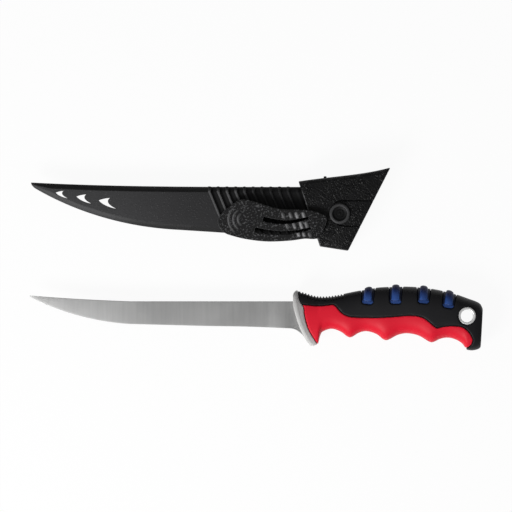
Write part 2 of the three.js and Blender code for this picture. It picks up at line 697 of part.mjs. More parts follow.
// Lines along the collar's four sides, which also place the scabbard's end
function collarLine(from, to, shift) {
  const direction = new THREE.Vector2(to[0] - from[0], to[1] - from[1]).normalize();
  const normal = new THREE.Vector2(-direction.y, direction.x).multiplyScalar(shift);
  return (distance) => [
    from[0] + normal.x + direction.x * distance,
    from[1] + normal.y + direction.y * distance,
  ];
}

// Everything to the right of a line that runs down the collar's left side, moved by a distance.
function rightOfSeat(distance) {
  const line = collarLine(COLLAR_BACK_LEFT, COLLAR_BELLY_LEFT, distance);
  return prism([line(-FAR), line(FAR), [FAR, -FAR], [FAR, FAR]], -FAR, FAR);
}

// A drain hole: a swept fin, tip to the left
function drainHole([fromTip, y, size]) {
  const at = ([u, v]) => [SCABBARD_TIP + fromTip + u * size, y + v * size];
  const shape = new THREE.Shape();
  shape.moveTo(...at(DRAIN_FIN.nose));
  shape.quadraticCurveTo(...at(DRAIN_BENDS.back), ...at(DRAIN_FIN.horn));
  shape.quadraticCurveTo(...at(DRAIN_BENDS.hollow), ...at(DRAIN_FIN.tail));
  shape.quadraticCurveTo(...at(DRAIN_BENDS.belly), ...at(DRAIN_FIN.nose));
  const points = shape.getPoints(DRAIN_POINTS).slice(0, -1).map((p) => [p.x, p.y]);
  return prism(points, -FAR, FAR);
}

// Slanted ribs that run over the back of the scabbard, parallel to the collar's left side
function ribSlabs() {
  return Array.from({ length: RIB_COUNT }, (_, i) => {
    const shift = LAST_RIB - i * RIB_PITCH;
    const near = collarLine(COLLAR_BACK_LEFT, COLLAR_BELLY_LEFT, shift + RIB_WIDTH / 2);
    const far = collarLine(COLLAR_BACK_LEFT, COLLAR_BELLY_LEFT, shift - RIB_WIDTH / 2);
    return prism([near(-FAR), far(-FAR), far(FAR), near(FAR)], -FAR, FAR);
  });
}

function scabbard() {
  const ribSkin = scabbardVolume(RIB_HEIGHT, SCABBARD_TIP, SCABBARD_END);
  const ribs = ribSlabs().map((slab) => ribSkin.intersect(slab));
  const hollow = scabbardVolume(-SCABBARD_WALL, SCABBARD_TIP + SCABBARD_TIP_WALL, SCABBARD_END + OVERRUN);
  const body = ribs.reduce((solid, rib) => solid.add(rib), scabbardVolume(0, SCABBARD_TIP, SCABBARD_END));
  const cuts = [hollow, rightOfSeat(COLLAR_SEAT), ...DRAIN_PLACES.map(drainHole)];
  return cuts.reduce((solid, cut) => solid.subtract(cut), body);
}

// Collar: a rounded shell round the guard and the front of the handle, open at the mouth.
// Its back edge sags between its two ends.
function collarBack(inset) {
  const line = collarLine(COLLAR_BACK_LEFT, COLLAR_BACK_RIGHT, -inset);
  const length = Math.hypot(COLLAR_BACK_LENGTH, COLLAR_BACK_RISE);
  const sagging = steps(0, length, COLLAR_STEP).map((distance) => {
    const share = distance / length;
    const [x, y] = line(distance);
    return [x, y - 4 * COLLAR_BACK_SAG * share * (1 - share)];
  });
  return [line(-length), ...sagging, line(2 * length)];
}

function collarBlock(inset, rounding) {
  const belly = collarLine(COLLAR_BELLY_LEFT, COLLAR_BELLY_RIGHT, inset);
  const bellySide = [belly(-COLLAR_BACK_LENGTH), belly(COLLAR_BACK_LENGTH * 2)];
  return roundedPrism([...collarBack(inset).reverse(), ...bellySide], COLLAR_HALF - inset, rounding);
}

// What lies between the collar's left side and its mouth
function collarSpan() {
  const sides = [[COLLAR_BACK_LEFT, COLLAR_BELLY_LEFT], [COLLAR_BACK_RIGHT, COLLAR_BELLY_RIGHT]];
  const [left, mouth] = sides.map(([back, belly]) => {
    const line = collarLine(back, belly, 0);
    const length = Math.hypot(belly[0] - back[0], belly[1] - back[1]);
    return [line(-OVERRUN), line(length + OVERRUN)];
  });
  return prism([...left, ...mouth.reverse()], -FAR, FAR);
}

function collarShell() {
  const hollow = collarBlock(COLLAR_WALL, COLLAR_ROUNDING - COLLAR_WALL / 2);
  const block = collarBlock(0, COLLAR_ROUNDING).intersect(collarSpan());
  return block.subtract(hollow.intersect(rightOfSeat(COLLAR_SEAT)));
}

function tongueOutline(room) {
  const left = TONGUE_ROOT - room;
  return [[left, TONGUE_BOTTOM - room], [FAR, TONGUE_BOTTOM - room], [FAR, TONGUE_TOP + room],
    [left, TONGUE_TOP + room]];
}

function collar() {
  const scabbardRoom = scabbardVolume(CLEARANCE, SCABBARD_TIP, SCABBARD_END);
  const tongueRoom = prism(tongueOutline(CLEARANCE), COLLAR_HALF / 2, FAR);
  return collarShell().subtract(scabbardRoom).subtract(tongueRoom);
}

// The tongue is the collar's wall between the slits, with a nose inside that presses the handle.
function retentionTongue() {
  const panel = collarShell().intersect(prism(tongueOutline(0), COLLAR_HALF / 2, FAR));
  const middle = (TONGUE_TOP + TONGUE_BOTTOM) / 2;
  const inner = COLLAR_HALF - COLLAR_WALL;
  const noseTop = middle + TONGUE_NOSE_LENGTH / 2;
  const noseBottom = middle - TONGUE_NOSE_LENGTH / 2;
  const noseEnd = TONGUE_NOSE_PLACE + TONGUE_NOSE_WIDTH;
  const nose = [[TONGUE_NOSE_PLACE, noseBottom], [noseEnd, noseBottom], [noseEnd, noseTop],
    [TONGUE_NOSE_PLACE, noseTop]];
  return panel.add(prism(nose, inner - TONGUE_NOSE_HEIGHT, inner + COLLAR_WALL / 2));
}

// The button is a ring round a dish with a dot in the middle.
function retentionButton() {
  const profile = [
    [0, 0], [BUTTON_RADIUS, 0], [BUTTON_RADIUS, BUTTON_HEIGHT - BUTTON_SHOULDER],
    [BUTTON_RADIUS - BUTTON_SHOULDER, BUTTON_HEIGHT],
    [BUTTON_DISH_RADIUS + BUTTON_DISH_SLOPE, BUTTON_HEIGHT], [BUTTON_DISH_RADIUS, BUTTON_FLOOR],
    [BUTTON_DOT_RADIUS + BUTTON_DOT_HEIGHT, BUTTON_FLOOR],
    [BUTTON_DOT_RADIUS, BUTTON_FLOOR + BUTTON_DOT_HEIGHT], [0, BUTTON_FLOOR + BUTTON_DOT_HEIGHT],
  ].map(([r, h]) => new THREE.Vector2(r, h));
  const geometry = new THREE.LatheGeometry(profile, SMALL_ROUND);
  geometry.rotateX(Math.PI / 2);
  geometry.translate(BUTTON_X, BUTTON_Y, COLLAR_HALF);
  return solidOf(geometry);
}

// Belt clip: a leaf-shaped plate that leans down to the scabbard from its root on the collar
const clipOutline = smooth(CLIP_OUTLINE, CLIP_POINTS, true);

function clipSlot(points) {
  const line = smooth(points, CLIP_SLOT_POINTS);
  const near = [];
  const far = [];
  line.forEach(([x, y], i) => {
    const before = line[Math.max(i - 1, 0)];
    const after = line[Math.min(i + 1, line.length - 1)];
    const normal = new THREE.Vector2(before[1] - after[1], after[0] - before[0]).normalize();
    const half = (CLIP_SLOT_WIDTH / 2) * THREE.MathUtils.lerp(1, CLIP_SLOT_TAPER, i / (line.length - 1));
    near.push([x + normal.x * half, y + normal.y * half]);
    far.unshift([x - normal.x * half, y - normal.y * half]);
  });
  return prism([...far.reverse(), ...near.reverse()], -FAR, FAR);
}

function clipPlate() {
  const plate = prism(clipOutline, -CLIP_THICKNESS / 2, CLIP_THICKNESS / 2);
  return CLIP_SLOTS.reduce((solid, slot) => solid.subtract(clipSlot(slot)), plate);
}

function besideHinge(from, to) {
  const box = [[from, -FAR], [to, -FAR], [to, FAR], [from, FAR]];
  return prism(box, -FAR, FAR);
}

const CLIP_LEVEL = COLLAR_HALF + CLIP_PAD + CLIP_THICKNESS / 2;
const CLIP_REACH = CLIP_HINGE - CLIP_OUTLINE[0][0];
const CLIP_DROP = COLLAR_HALF + CLIP_PAD - SCABBARD_HALF - RIB_HEIGHT - CLIP_TIP_GAP;
const CLIP_LEAN = Math.asin(CLIP_DROP / CLIP_REACH);

function beltClip() {
  const arm = clipPlate().intersect(besideHinge(-FAR, CLIP_HINGE - CLEARANCE));
  const mesh = piece('belt_clip', arm.translate([-CLIP_HINGE, 0, 0]), FINISHES.sheath);
  const hinge = new THREE.Group();
  hinge.position.set(CLIP_HINGE, 0, CLIP_LEVEL);
  hinge.rotation.y = -CLIP_LEAN;
  hinge.add(mesh);
  return hinge;
}

function clipRoot() {
  const level = clipPlate().translate([0, 0, CLIP_LEVEL]);
  const plate = level.intersect(besideHinge(CLIP_HINGE + CLEARANCE, FAR));
  const padSide = prism(grown(clipOutline, -CLIP_PAD_INSET), COLLAR_HALF, CLIP_LEVEL);
  const pad = padSide.intersect(besideHinge(CLIP_HINGE + CLIP_PAD_INSET, FAR)).intersect(collarSpan());
  return plate.add(pad);
}

function sheath() {
  const group = new THREE.Group();
  group.add(piece('scabbard', scabbard(), FINISHES.sheath));
  group.add(piece('collar', collar(), FINISHES.sheath));
  group.add(piece('retention_tongue', retentionTongue(), FINISHES.sheath));
  group.add(piece('retention_button', retentionButton(), FINISHES.sheath));
  group.add(piece('clip_root', clipRoot(), FINISHES.sheath));
  group.add(beltClip());
  return group;
}

// Both lie on the table, and the origin is on the table under the middle of the pair.
function lieDown(group, x, y) {
  const box = new THREE.Box3().setFromObject(group);
  group.position.set(x, y, -box.min.z);
  return group;
}

const pair = new THREE.Group();
pair.add(lieDown(sheath(), 0, 0));
pair.add(lieDown(knife(), -KNIFE_SET_BACK, -KNIFE_TO_SHEATH));

const reach = new THREE.Box3().setFromObject(pair);
const middle = reach.getCenter(new THREE.Vector3());
pair.position.set(-middle.x, -middle.y, 0);

const fishingKnife = new THREE.Group();
fishingKnife.add(pair);

export default fishingKnife;
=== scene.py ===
# %% [markdown]
# A fishing knife lies beside its sheath, seen straight from above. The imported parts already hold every
# size, place and joint. This lesson dresses them: finer pieces are modelled over the same places, each
# piece gets its own finish, and a plain studio is set round them.

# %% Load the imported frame
import math

import bmesh
import bpy
from mathutils import Matrix, Vector
from mathutils.geometry import interpolate_bezier
from mathutils.kdtree import KDTree


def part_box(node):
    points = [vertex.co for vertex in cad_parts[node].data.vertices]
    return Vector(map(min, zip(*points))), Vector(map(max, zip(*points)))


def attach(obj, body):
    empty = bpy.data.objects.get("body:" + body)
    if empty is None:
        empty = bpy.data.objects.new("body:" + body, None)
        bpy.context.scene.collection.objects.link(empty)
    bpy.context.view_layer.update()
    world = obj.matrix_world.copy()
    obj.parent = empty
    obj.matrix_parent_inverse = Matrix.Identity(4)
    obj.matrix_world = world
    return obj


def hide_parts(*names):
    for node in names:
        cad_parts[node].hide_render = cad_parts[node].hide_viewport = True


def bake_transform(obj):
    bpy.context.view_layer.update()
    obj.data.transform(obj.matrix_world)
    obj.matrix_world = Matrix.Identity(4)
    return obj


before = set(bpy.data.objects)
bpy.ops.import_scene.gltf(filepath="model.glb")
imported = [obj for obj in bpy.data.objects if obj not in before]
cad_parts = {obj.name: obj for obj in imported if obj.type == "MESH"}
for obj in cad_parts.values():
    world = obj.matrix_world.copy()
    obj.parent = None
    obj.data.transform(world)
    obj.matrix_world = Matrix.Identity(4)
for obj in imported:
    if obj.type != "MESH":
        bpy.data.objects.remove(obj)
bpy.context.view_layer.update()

# %% [markdown]
# The knife and the sheath each have their own origin, and their sizes are written in millimetres from
# it. The knife's origin is on the spine where the blade meets the guard. The sheath's is at the top
# left corner of its collar, at the height of the scabbard's back. Both are read off the frame.

# %% Find the two origins in the frame
MM = 0.001
BLADE_LENGTH = 178
TIP_RISE = 3.9
SCABBARD_TIP_RISE = 3.0

blade_low, blade_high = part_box("blade")
collar_low, collar_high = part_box("collar")
scabbard_low, scabbard_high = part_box("scabbard")
KNIFE = Vector((
    blade_low.x + BLADE_LENGTH * MM,
    blade_high.y - TIP_RISE * MM,
    (blade_low.z + blade_high.z) / 2,
))
SHEATH = Vector((
    collar_low.x,
    scabbard_high.y - SCABBARD_TIP_RISE * MM,
    (collar_low.z + collar_high.z) / 2,
))
print("knife origin:", KNIFE, "sheath origin:", SHEATH)

# %% [markdown]
# The camera looks straight down through a long lens, so that nothing leans outwards at the edges of
# the picture. A long lens stands far away: its distance follows from the width that it has to show.

# %% Set the camera over the pair
VIEW_WIDTH = 345.6 * MM
VIEW_CENTRE = (-0.13 * MM, 2.29 * MM)
LENS = 1000
SENSOR = 36

camera = bpy.data.objects.new("camera", bpy.data.cameras.new("camera"))
camera.data.lens = LENS
camera.data.sensor_width = SENSOR
camera.location = (*VIEW_CENTRE, KNIFE.z + VIEW_WIDTH * LENS / SENSOR)
bpy.context.collection.objects.link(camera)
bpy.context.scene.camera = camera
bpy.context.scene.view_settings.view_transform = "Standard"
print("camera height:", round(camera.location.z, 3))

# %% [markdown]
# Shader arithmetic reads best as arithmetic. A small class wraps a node's output, and its operators add
# Math nodes. Every other node comes from one method, which sets the node's own choices first and then
# its sockets. Patterns read Object coordinates, which are metres here, so a scale of 1000 repeats about
# once in a millimetre. A finish can also read which way the surface faces, and a number that the mesh
# carries as a mark.

# %% Write materials as expressions
class Wire:
    """One output of a node, with arithmetic."""

    def __init__(self, finish, socket):
        self.finish = finish
        self.socket = socket

    def math(self, operation, first, second):
        return self.finish.add("ShaderNodeMath", {"operation": operation}, {0: first, 1: second})

    def __add__(self, other):
        return self.math("ADD", self, other)

    def __sub__(self, other):
        return self.math("SUBTRACT", self, other)

    def __rsub__(self, other):
        return self.math("SUBTRACT", other, self)

    def __mul__(self, other):
        return self.math("MULTIPLY", self, other)

    def __gt__(self, other):
        return self.math("GREATER_THAN", self, other)

    __radd__ = __add__
    __rmul__ = __mul__


class Finish:
    """A material, or the world, under construction."""

    def __init__(self, name, library=bpy.data.materials):
        self.material = library.new(name)
        self.material.use_nodes = True
        self.tree = self.material.node_tree
        self.tree.nodes.clear()

    def add(self, kind, settings=None, sockets=None, out=0):
        node = self.tree.nodes.new(kind)
        for key, value in (settings or {}).items():
            setattr(node, key, value)
        for key, value in (sockets or {}).items():
            if isinstance(value, Wire):
                self.tree.links.new(value.socket, node.inputs[key])
            else:
                node.inputs[key].default_value = value
        return Wire(self, node.outputs[out]) if len(node.outputs) else node

    def place(self, scale=(1, 1, 1), turn=0):
        spot = self.add("ShaderNodeTexCoord", out="Object")
        sockets = {"Vector": spot, "Scale": scale, "Rotation": (0, 0, math.radians(turn))}
        return self.add("ShaderNodeMapping", None, sockets)

    def facing(self, axis):
        normal = self.add("ShaderNodeTexCoord", out="Normal")
        return self.add("ShaderNodeSeparateXYZ", None, {0: normal}, axis)

    def mark(self, name):
        return self.add("ShaderNodeAttribute", {"attribute_name": name}, None, "Fac")

    def noise(self, scale, detail=2, stretch=(1, 1, 1), turn=0):
        spread = tuple(scale * share for share in stretch)
        sockets = {"Vector": self.place(spread, turn), "Scale": 1, "Detail": detail}
        return self.add("ShaderNodeTexNoise", None, sockets)

    def cells(self, scale, feature="F1"):
        sockets = {"Vector": self.place((scale,) * 3), "Scale": 1}
        return self.add("ShaderNodeTexVoronoi", {"feature": feature}, sockets)

    def step(self, value, low, high):
        settings = {"interpolation_type": "SMOOTHSTEP"}
        return self.add("ShaderNodeMapRange", settings, {0: value, 1: low, 2: high})

    def blend(self, share, first, second):
        settings = {"data_type": "RGBA"}
        return self.add("ShaderNodeMix", settings, {0: share, 6: colour(first), 7: colour(second)}, 2)

    def bump(self, height, depth, normal=None):
        sockets = {"Height": height, "Distance": depth * MM, "Strength": 1}
        if normal:
            sockets["Normal"] = normal
        return self.add("ShaderNodeBump", None, sockets)

    def close(self, tone, rough, normal, gloss=0.5, metal=0.0):
        sockets = {"Base Color": tone, "Roughness": rough, "Normal": normal}
        sockets.update({"Specular IOR Level": gloss, "Metallic": metal})
        shader = self.add("ShaderNodeBsdfPrincipled", None, sockets)
        self.add("ShaderNodeOutputMaterial", None, {"Surface": shader})
        print("finish:", self.material.name, len(self.tree.nodes), "nodes")
        return self.material


def colour(value):
    return value if isinstance(value, Wire) else (*value, 1)


# %% [markdown]
# The blade is satin steel, ground across its length, so its scratches are drawn out from spine to edge.
# A noise that is stretched many times along one axis gives such a grain. It only feeds the roughness
# and a very shallow bump, because bare metal takes its tone from what it reflects.

# %% Satin steel
def satin_steel():
    finish = Finish("satin_steel")
    scratch = finish.noise(5200, 3, (1, 0.03, 0.03), 4)
    streak = finish.noise(700, 3, (1, 0.04, 0.04), 4)
    haze = finish.noise(45, 3)
    tone = finish.blend(0.45 * haze + 0.55 * streak, (0.38, 0.38, 0.38), (0.54, 0.54, 0.535))
    rough = 0.3 + 0.1 * scratch + 0.08 * haze
    normal = finish.bump(scratch, 0.012)
    return finish.close(tone, rough, normal, metal=1.0)


STEEL = satin_steel()


# %% [markdown]
# The eyelet is a stamped metal ring. Its scratches have no direction, so plain noise is enough.

# %% Pale eyelet metal
def eyelet_metal():
    finish = Finish("eyelet_metal")
    wear_and_sheen = finish.noise(900, 4)
    tone = finish.blend(wear_and_sheen, (0.82, 0.82, 0.82), (0.95, 0.95, 0.94))
    normal = finish.bump(wear_and_sheen, 0.03)
    return finish.close(tone, 0.3 + 0.2 * wear_and_sheen, normal, metal=0.7)


EYELET = eyelet_metal()


# %% [markdown]
# The grip is moulded rubber in two colours. A mould for rubber is lightly blasted, which leaves a fine
# even stipple and a soft sheen. Broad noise on top keeps the colour from being one flat tone.

# %% Moulded rubber and plastic
def moulded(name, dark, light, rough, stipple, depth, gloss):
    finish = Finish(name)
    cloud = finish.noise(60, 3)
    fine = finish.noise(stipple, 3)
    tone = finish.blend(0.7 * cloud + 0.3 * fine, dark, light)
    normal = finish.bump(fine, depth)
    surface = rough - 0.06 + 0.12 * fine
    return finish.close(tone, surface, normal, gloss)


BLACK = moulded("black_rubber", (0.0080, 0.0080, 0.0092), (0.0125, 0.0122, 0.0140), 0.5, 1900, 0.05, 0.2)
RED = moulded("red_rubber", (0.70, 0.0085, 0.027), (0.78, 0.014, 0.036), 0.46, 1900, 0.04, 0.16)
CORE = moulded("core_plastic", (0.02, 0.02, 0.021), (0.03, 0.03, 0.031), 0.55, 1500, 0.04, 0.3)


# %% [markdown]
# The saddles are a harder, glossier blue plastic. Their let-in bases lie in the cover's shadow, and that
# shade is painted. The mesh marks its raised parts, and the base's foot as painted light. The finish
# blends from a nearly black blue, the painted shade on the rest of the base, to the bright blue. On the
# crown, where the surface faces the grip's back, the blue is painted darker as shade, and it is less
# glossy.

# %% Saddle blue
def saddle_blue():
    finish = Finish("blue_plastic")
    raised = finish.mark("raised")
    cloud = finish.noise(420, 3)
    fine = finish.noise(1500, 2)
    # Painted shade: the crown, which faces the grip's back, is darkened.
    crown = finish.step(finish.facing("Y"), 0.1, 0.8)
    bright = finish.blend(cloud, (0.017, 0.060, 0.225), (0.038, 0.100, 0.365))
    crown_shaded_blue = finish.blend(crown, bright, (0.004, 0.009, 0.060))
    # The mark takes the ridge, and the base's foot as painted light, to the bright blue. The rest of the
    # base gets a nearly black blue as painted shade.
    tone = finish.blend(raised, (0.0022, 0.0055, 0.022), crown_shaded_blue)
    normal = finish.bump(fine, 0.02)
    rough = 0.3 + 0.12 * fine + 0.25 * crown
    return finish.close(tone, rough, normal, gloss=0.3)


BLUE = saddle_blue()


# %% [markdown]
# The guard is pale grey with a bright bead at its front and a band behind it, which is painted darker as
# shade where it falls away to the grip. The mesh carries its own distance from the front as a mark, and
# the finish turns that into the two tones.

# %% Guard grey
BAND_SHADE_START = 2.4
BAND_SHADE_FULL = 3.6


def guard_grey():
    finish = Finish("guard_grey")
    behind_front = finish.mark("behind_front")
    band = finish.step(behind_front, BAND_SHADE_START, BAND_SHADE_FULL)
    cloud = finish.noise(260, 3)
    fine = finish.noise(1300, 3)
    pale = finish.blend(cloud, (0.58, 0.575, 0.565), (0.69, 0.685, 0.675))
    # Painted shade: the band behind the bead is darker, where it falls away to the grip.
    tone = finish.blend(band, pale, (0.56, 0.545, 0.54))
    normal = finish.bump(fine, 0.05)
    return finish.close(tone, 0.36 + 0.12 * fine, normal, gloss=0.35)


GUARD = guard_grey()


# %% [markdown]
# The sheath is one black plastic, and its moulds give it several textures. The smooth length of the
# scabbard has a fine speckle. It is paler towards the tip, and the bevels of its edges are painted nearly
# black as shade: the back's all along, and the belly's away from the tip.
# The finish finds these places by itself: Object coordinates, counted in millimetres from the sheath's
# origin, say how far along a point is, and the normal says which way it faces.

# %% Speckled plastic
PALE_TO_DARK = (-145, -50)
BELLY_BEVEL_SHADE_X = (-130, -102)
BELLY_BEVEL_SHADE_SHARE = 0.75
BEVEL_SHADE_TURN = 0.08
BEVEL_SHADE_FULL = 0.3


def sheath_axis(finish, axis):
    """Millimetres along one axis from the sheath's origin."""
    spot = finish.add("ShaderNodeVectorMath", {"operation": "SUBTRACT"}, {0: finish.place(), 1: SHEATH})
    return finish.add("ShaderNodeSeparateXYZ", None, {0: spot}, axis) * (1 / MM)


def speckled_plastic():
    finish = Finish("speckled_plastic")
    x, up = sheath_axis(finish, "X"), finish.facing("Y")
    near_ribs = finish.step(x, *PALE_TO_DARK)
    # Painted shade on the bevels, chosen by which way they face: the back's all along, and the belly's
    # away from the tip.
    back = finish.step(up, BEVEL_SHADE_TURN, BEVEL_SHADE_FULL)
    belly = finish.step(up, -BEVEL_SHADE_TURN, -BEVEL_SHADE_FULL) * finish.step(x, *BELLY_BEVEL_SHADE_X)
    fine = finish.noise(1100, 3)
    cloud = finish.noise(80, 3)
    fleck = finish.step(finish.cells(560), 0.3, 0.1)
    grain = 0.5 * fine + 0.2 * cloud + 0.4 * fleck
    dark = finish.blend(near_ribs, (0.021, 0.021, 0.0225), (0.0105, 0.0105, 0.0115))
    pale = finish.blend(near_ribs, (0.060, 0.060, 0.062), (0.032, 0.032, 0.0335))
    flat = finish.blend(grain, dark, pale)
    tone = finish.blend(back + BELLY_BEVEL_SHADE_SHARE * belly, flat, (0.003, 0.003, 0.0033))
    normal = finish.bump(fine + fleck, 0.09)
    return finish.close(tone, 0.5 + 0.15 * fine, normal, gloss=0.32)


SPECKLED = speckled_plastic()


# %% [markdown]
# The ribs next to the collar are polished. Their crests get a pale painted highlight, strongest towards
# the tip, with a painted shadow on the foot behind each. Below the bevel of the back they lean, so the
# finish measures a length that leans with them and counts it in ribs. The fraction of that count tells a
# crest from a foot. The ribs on the back's bevel get no painted highlight, and those under the clip are
# painted black as its shadow.

# %% Ribbed plastic
RIB_PITCH = 5.9
RIB_SLANT = 0.416
RIB_BEND = -3.3
LAST_RIB = -7.0
CREST = (0.2, 0.08)
FOOT_SHADOW_IN, FOOT_SHADOW_OUT = (0.1, 0.2), (0.55, 0.35)
PAINTED_LIGHT_FADE = (-26, -44)
CLIP_SHADE_X, CLIP_SHADE_Y = (-40, -34), (-13, -18)
BELOW_BEVEL = (-1.4, -2.6)


def ribbed_plastic():
    finish = Finish("ribbed_plastic")
    x, y = sheath_axis(finish, "X"), sheath_axis(finish, "Y")
    leaned = RIB_SLANT * y.math("MINIMUM", y - RIB_BEND, 0)
    turns = (x + leaned - LAST_RIB) * (1 / RIB_PITCH)
    past_crest = turns.math("FRACT", turns, 0)
    # Painted highlight on each crest, and painted shadow on the foot behind it, both strongest towards
    # the tip.
    crest = finish.step(turns.math("PINGPONG", turns, 0.5), *CREST)
    foot = finish.step(past_crest, *FOOT_SHADOW_IN) * finish.step(past_crest, *FOOT_SHADOW_OUT)
    painted_light = finish.step(x, *PAINTED_LIGHT_FADE)
    clip_shadow = finish.step(x, *CLIP_SHADE_X) * finish.step(y, *CLIP_SHADE_Y)
    highlight_shown = finish.step(y, *BELOW_BEVEL) * (1 - clip_shadow)
    fine = finish.noise(1100, 3)
    black = (0.0015, 0.0015, 0.0017)
    groove = finish.blend(foot * (0.4 + 0.6 * painted_light), (0.0125, 0.0125, 0.013), black)
    pale = finish.blend(painted_light, (0.022, 0.022, 0.023), (0.090, 0.090, 0.092))
    # The clip's shadow is painted black over the ribs under it.
    tone = finish.blend(crest * highlight_shown, finish.blend(clip_shadow, groove, black), pale)
    normal = finish.bump(fine, 0.03)
    return finish.close(tone, 0.36 + 0.15 * fine, normal, gloss=0.1)


RIBBED = ribbed_plastic()


# %% [markdown]
# The collar and its tongue have a leather grain, which is pebbles between fine creases. A Voronoi pattern
# that measures the distance to the edges of its cells draws the creases, and a broad noise fades the
# pebbles in and out. The collar's edge over the scabbard gets a pale painted highlight.

# %% Leather plastic
COLLAR_LEAN = math.radians(18.4)
SLANT = math.tan(COLLAR_LEAN)
EDGE_HIGHLIGHT_X, EDGE_HIGHLIGHT_Y, EDGE_HIGHLIGHT_Z = (2.1, 1.5), (-1, -5), (11.6, 12.6)


def leather_plastic():
    finish = Finish("leather_plastic")
    x, y, z = [sheath_axis(finish, axis) for axis in "XYZ"]
    # Painted highlight: a pale line along the collar's left edge.
    rim = finish.step(x + SLANT * y, *EDGE_HIGHLIGHT_X) * finish.step(y, *EDGE_HIGHLIGHT_Y) * finish.step(z, *EDGE_HIGHLIGHT_Z)
    warp = finish.noise(500, 2)
    wrinkle = finish.cells(520, "DISTANCE_TO_EDGE")
    pebble = finish.step(wrinkle + 0.12 * warp, 0.05, 0.3)
    patch = finish.step(finish.noise(110, 3), 0.42, 0.62)
    grain = finish.blend(pebble * patch, (0.0038, 0.0038, 0.0042), (0.0075, 0.0075, 0.008))
    tone = finish.blend(rim, grain, (0.075, 0.075, 0.077))
    normal = finish.bump(warp, 0.05, finish.bump(pebble * (0.2 + 0.8 * patch), 0.42))
    return finish.close(tone, 0.56 - 0.2 * pebble, normal, gloss=0.22)


LEATHER = leather_plastic()


# %% [markdown]
# The clip has a coarse stipple, and a pale painted highlight as a rim where its edge turns to the left
# or right. The tops of its ridges are smoother and get a bright painted highlight, and the mesh marks
# those.

# %% Stippled plastic
CLIP_EDGE_HIGHLIGHT_TURN = (0.12, 0.5)


def stippled_plastic():
    finish = Finish("stippled_plastic")
    ridge_highlight = finish.mark("ridge_highlight")
    fleck = finish.step(finish.noise(820, 2), 0.52, 0.65) * (1 - ridge_highlight)
    fine = finish.noise(2400, 2)
    pitted = finish.blend(fleck, (0.0020, 0.0020, 0.0023), (0.075, 0.075, 0.078))
    side = finish.facing("X")
    # Painted highlight: edges that turn to the left or right are pale.
    edge_highlighted = finish.blend(finish.step(side * side, *CLIP_EDGE_HIGHLIGHT_TURN), pitted, (0.10, 0.10, 0.103))
    # Painted highlight on the tops of the ridges and arcs.
    tone = finish.blend(ridge_highlight, edge_highlighted, (0.26, 0.26, 0.265))
    normal = finish.bump(fine, 0.03, finish.bump(fleck, 0.3))
    return finish.close(tone, 0.46 + 0.16 * fine - 0.2 * ridge_highlight, normal, gloss=0.25)


STIPPLED = stippled_plastic()


# %% [markdown]
# The button is smooth. Its ring is painted pale as a highlight, and the dish inside it is painted dark as
# shade. The distance from the button's axis tells the two apart.

# %% Button plastic
BUTTON_X = 27.7
BUTTON_Y = -18.05
DISH_EDGE = (4.6 * MM, 5.1 * MM)


def button_plastic():
    finish = Finish("button_plastic")
    middle = SHEATH + Vector((BUTTON_X, BUTTON_Y, 0)) * MM
    spot = finish.add("ShaderNodeVectorMath", {"operation": "SUBTRACT"}, {0: finish.place(), 1: middle})
    flat = finish.add("ShaderNodeVectorMath", {"operation": "MULTIPLY"}, {0: spot, 1: (1, 1, 0)})
    reach = finish.add("ShaderNodeVectorMath", {"operation": "LENGTH"}, {0: flat}, "Value")
    fine = finish.noise(1300, 3)
    painted_light = finish.blend(fine, (0.024, 0.024, 0.025), (0.070, 0.070, 0.072))
    # Painted shade in the dish, and a painted highlight on the ring round it.
    tone = finish.blend(finish.step(reach, *DISH_EDGE), (0.0032, 0.0032, 0.0036), painted_light)
    normal = finish.bump(fine, 0.08)
    return finish.close(tone, 0.42 + 0.12 * fine, normal, gloss=0.2)


BUTTON = button_plastic()

# %% [markdown]
# The studio is a wide white floor under a soft sky that is brighter overhead, with a large lamp low on
# the left, which is where the bright flanks of the ribs and of the finger grooves face. A small lamp
# hangs over the blade's tip, and the satin steel draws its light out along the blade. To the camera, and
# to metal that mirrors it, the floor is mostly a white glow. A part of it stays plain paint, so the
# pair still throws a faint shadow.

# %% Build the studio
FLOOR_SIZE = 8
FLOOR_TONE = 0.86
FLOOR_GLOW = 0.94
SKY_LOW = 0.16
SKY_HIGH = 0.28
SKY_TURN = 0.35
LAMPS = {
    "key": ((-0.50, -0.60, 0.75), 0.45, 10.6),
    "tip": ((-0.21, -0.03, 0.30), 0.08, 0.018),
}


def floor_paint():
    finish = Finish("floor_paint")
    outputs = finish.add("ShaderNodeLightPath").socket.node.outputs
    rays = [Wire(finish, outputs[f"Is {kind} Ray"]) for kind in ("Camera", "Glossy", "Transmission")]
    seen = (rays[0] + rays[1] + rays[2]) > 0.5
    paint = finish.add("ShaderNodeBsdfDiffuse", None, {"Color": (FLOOR_TONE,) * 3 + (1,)})
    glow = finish.add("ShaderNodeEmission", None, {"Color": (1, 1, 1, 1), "Strength": 1})
    mixed = finish.add("ShaderNodeMixShader", None, {0: FLOOR_GLOW * seen, 1: paint, 2: glow})
    finish.add("ShaderNodeOutputMaterial", None, {"Surface": mixed})
    return finish.material


def soft_sky():
    sky = Finish("sky", bpy.data.worlds)
    way = sky.add("ShaderNodeTexCoord", out="Generated")
    up = sky.add("ShaderNodeSeparateXYZ", None, {0: way}, "Z")
    strength = SKY_LOW + (SKY_HIGH - SKY_LOW) * sky.step(up, SKY_TURN, 1)
    light = sky.add("ShaderNodeBackground", None, {"Color": (1, 1, 1, 1), "Strength": strength})
    sky.add("ShaderNodeOutputWorld", None, {"Surface": light})
    return sky.material


